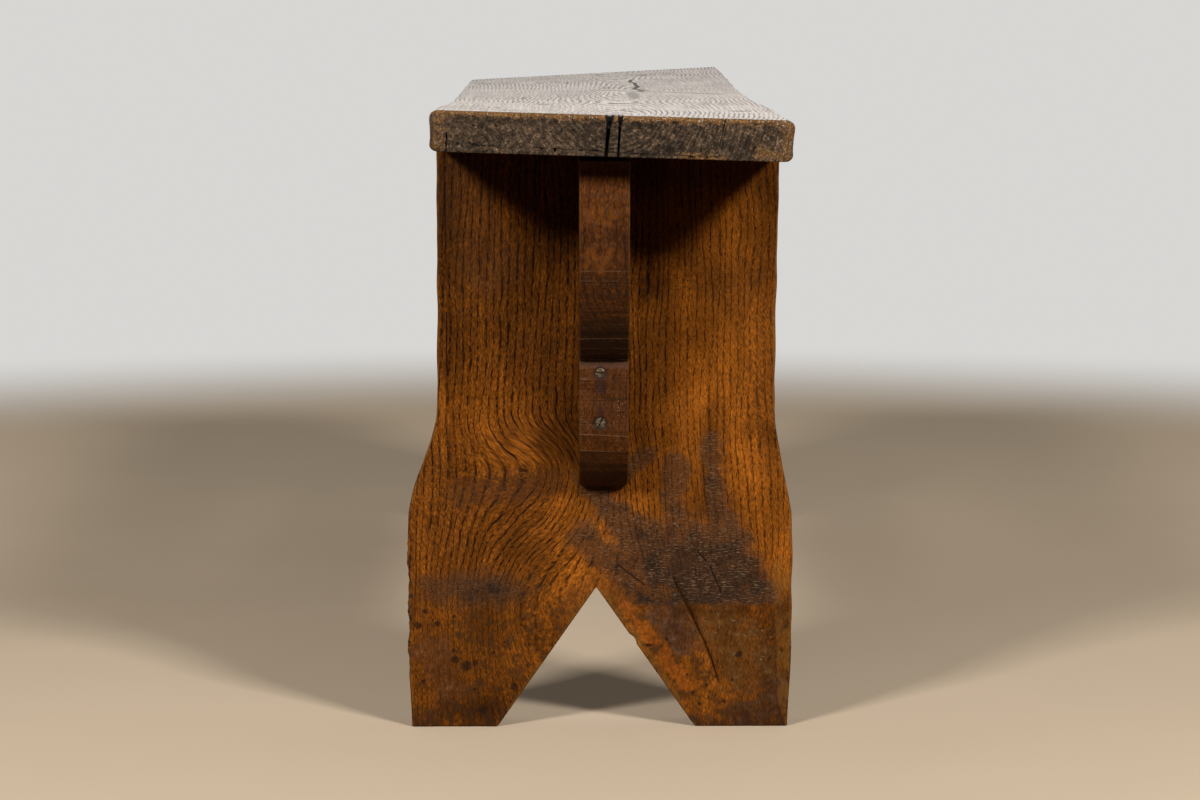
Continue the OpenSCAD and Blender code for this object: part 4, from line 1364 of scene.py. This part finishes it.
def bracket_paint():
    """Darker oiled oak of the brackets: upright grain, saw lines across, stains at the screws."""
    p = Paint("bracket_oak")
    p.x = p.x.size()
    x, y, z = p.x, p.y - CENTRE_Y, p.z
    u = y * 0.8 + (p.noise((y, z, x), 40, 90, 40) - 0.5) * 14 + x * 0.5 + 50
    colour, height, rough = oak(p, u, z, x * 1.2, (0.1, 0.029, 0.004), lines=0.6, pores=0.7)
    mottle = p.noise((y, z, x), 9, 6, 20, 5, 0.62)
    level = 1
    # Painted light in the band at 284 mm: the low belly is lifted out of the shade under the head.
    for tone_z, half, gain in BRACKET_TONES:
        level = (z - tone_z).bell(half) * gain + level
    colour.dim(level * ((mottle - 0.5) * 1.4 + 1))
    bracket_head(p, y, mottle, colour)
    saw, sway, faded = bracket_lines(p, y, colour)
    grit = bracket_nose(p, y, mottle, sway, faded, colour)
    screw_rings_and_drips(p, mottle, colour)
    worn = p.wear(0.25, 0.9) * p.noise((x, y, z), 9, 9, 13, 3).step(0.3, 0.5)
    colour.lay(worn * 0.3, (0.2, 0.08, 0.014))
    colour.dim(OILED)
    return p.finish(colour, rough + 0.02, height + saw * 0.6 + grit * 0.3, 0.5, specular=0.1)


def stretcher_paint():
    """Oiled oak of the stretcher, its grain running along the bench."""
    p = Paint("stretcher_oak")
    x, y, z = p.x, p.y, p.z
    noise = partial(p.noise, (x, z, y))
    slow = noise(260, 40, 40) - 0.5
    quick = noise(80, 12, 12) - 0.5
    u = z + slow * 40 + quick * 4
    colour, height, rough = oak(p, u, x, y, (0.15, 0.046, 0.0065), pores=0.9)
    grime = noise(70, 30, 30, 4, 0.6).step(0.5, 0.7)
    colour.lay(grime * 0.4, (0.04, 0.018, 0.007))
    saw = p.noise((x / 1.8 + z / 60, z, y), 1, 60, 60)
    worn = p.wear(0.3, 0.9) * p.noise((x, y, z), 22, 9, 9, 3).step(0.4, 0.6)
    colour.lay(worn * 0.6, (0.25, 0.105, 0.022))
    height = height + saw * 0.18
    return p.finish(colour, rough + 0.04, height, 0.5, specular=0.12)


def metal_paint(name, bright, dull, metal, rough):
    """Aged metal: bright where rubbed, dull and rough in patches."""
    p = Paint(name)
    axes = p.x, p.y, p.z
    age = p.noise(axes, 1.6, 1.6, 1.6, 4, 0.6)
    pit = p.cells(axes, 0.9, 0.9, 0.9).step(0.4, 0.15)
    colour = p.mix(age.step(0.42, 0.6), bright, dull)
    return p.finish(colour, age * 0.3 + rough, age * 0.4 - pit * 0.3, 0.15, metal=metal)


# Stage, camera and lights

FLOOR_R, FADE_START = 2.4, 1.35
FLOOR_COLOUR, SHADED_FLOOR = (0.565, 0.455, 0.335), (0.08, 0.055, 0.035)
CAMERA_PLACE = (2.899, -0.0356, 0.5456)
CAMERA_PITCH, CAMERA_YAW = math.radians(7.064), math.radians(0.665)
CAMERA_LENS, CAMERA_SENSOR = 100, 36
# Strength of the surround as it is seen, and of the light it gives from behind and from the front
SHOWN, BACK_FILL, FRONT_FILL = 0.68, 0.4, 0.02
# The lamps look at this place, in the middle of the near half
LIGHT_AIM = np.array([0.45, 0, 0.25])


def seen_rays(p):
    """1 for rays from the camera, and 1 for those, from gloss and through glass."""
    path = p.node("LightPath").outputs
    kinds = [Num(p, path[name]) for name in ("Is Camera Ray", "Is Glossy Ray", "Is Transmission Ray")]
    return kinds[0], strongest(kinds)


def build_stage():
    """Plain pale floor that fades into the pale surround."""
    rings, spokes = 24, 96
    radius = np.linspace(0, FLOOR_R, rings + 1)[:, None]
    angle = np.linspace(0, 2 * math.pi, spokes, endpoint=False)
    points = np.stack([radius * np.cos(angle), radius * np.sin(angle), 0 * radius * angle], -1) / MM
    stage = make_mesh("studio_floor", points.reshape(-1, 3), tube(points)[0])
    p = Paint("studio_floor")
    _, seen = seen_rays(p)
    axes = p.x, p.y, p.z
    pale = p.gain(FLOOR_COLOUR, p.noise(axes, 300, 300, 1, 3) * 0.12 + p.noise(axes, 3, 3, 1) * 0.06 + 0.91)
    floor = p.node("BsdfDiffuse", {"Color": p.mix(seen, SHADED_FLOOR, pale)}).outputs[0]
    clear = p.node("BsdfTransparent").outputs[0]
    far = p.x.away(p.y).step(FADE_START / MM, FLOOR_R * 0.92 / MM)
    faded = p.node("MixShader", {0: far, 1: floor, 2: clear})
    p.node("OutputMaterial", {"Surface": faded.outputs[0]})
    stage.data.materials.append(p.owner)


def build_light(name, azimuth, elevation, distance, size, power, colour):
    """A square soft box that looks at the near half of the bench."""
    a, e = math.radians(azimuth), math.radians(elevation)
    way = np.array([math.cos(e) * math.cos(a), math.cos(e) * math.sin(a), math.sin(e)])
    lamp = bpy.data.lights.new(name, "AREA")
    lamp.shape, lamp.size, lamp.energy, lamp.color = "SQUARE", size, power, colour
    lamp_object = add_object(name, lamp)
    lamp_object.location = LIGHT_AIM + way * distance
    lamp_object.rotation_euler = Vector(-way).to_track_quat("-Z", "Y").to_euler()


def build_camera():
    """Camera at the photograph's viewing angle: end on, a little above the seat."""
    camera = bpy.data.cameras.new("camera")
    camera.lens, camera.sensor_width = CAMERA_LENS, CAMERA_SENSOR
    camera_object = add_object("camera", camera)
    camera_object.location = CAMERA_PLACE
    camera_object.rotation_euler = (math.pi / 2 - CAMERA_PITCH, 0, math.pi / 2 - CAMERA_YAW)
    bpy.context.scene.camera = camera_object


def build_world():
    """Pale surround in view and in reflections, with a weak fill that comes from behind the bench."""
    p = Paint("studio", is_world=True)
    bpy.context.scene.world = p.owner
    camera_ray, seen = seen_rays(p)
    level = (seen * (SHOWN - BACK_FILL) + (BACK_FILL - FRONT_FILL)) * p.x.step(250, -350) + FRONT_FILL
    level = level + camera_ray * (SHOWN - level)
    background = p.node("Background", {"Color": (1, 0.99, 0.965), "Strength": level})
    p.node("OutputWorld", {"Surface": background.outputs[0]})


def dress(piece, node, material):
    """Puts a piece in a CAD node's place, with its paint."""
    piece.data.materials.append(material)
    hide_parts(node)
    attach(piece, "root")


build_camera()
build_stage()
build_light("soft_box_left", -38, 31.5, 4, 0.7, 118, (1, 0.97, 0.93))
build_light("soft_box_right", 38, 34, 4, 0.7, 132, (1, 0.97, 0.93))
build_world()
bpy.context.scene.view_settings.view_transform = "Standard"

dress(build_seat(), "seat_plank", seat_paint())
dress(build_leg(1, "near_leg_board", NEAR_CRACKS, 71), "near_leg", leg_paint(1))
dress(build_leg(-1, "far_leg_board", FAR_CRACKS, 81), "far_leg", leg_paint(-1))
dress(build_stretcher(), "stretcher", stretcher_paint())
bracket_oak = bracket_paint()
screw_steel = metal_paint("screw_steel", (0.15, 0.115, 0.06), (0.035, 0.027, 0.02), 0.7, 0.38)
nail_iron = metal_paint("nail_iron", (0.1, 0.09, 0.085), (0.055, 0.035, 0.025), 0.6, 0.5)
for side, end_name in ((1, "near"), (-1, "far")):
    dress(build_bracket(side, end_name + "_scroll_bracket", 91 + side), end_name + "_bracket",
          bracket_oak)
    for k, (place, (height, head)) in enumerate(SCREWS.items()):
        node = f"{end_name}_{place}_screw"
        turn = 0.12 + 0.21 * k + 0.1 * side
        screw = screw_piece(side, node + "_slotted", height, head, turn, 5 + k)
        dress(screw, node, screw_steel)
    for k, (place, across) in enumerate(NAILS.items()):
        node = f"{end_name}_{place}_nail"
        dress(nail_piece(side, node + "_forged", across, 15 + k), node, nail_iron)
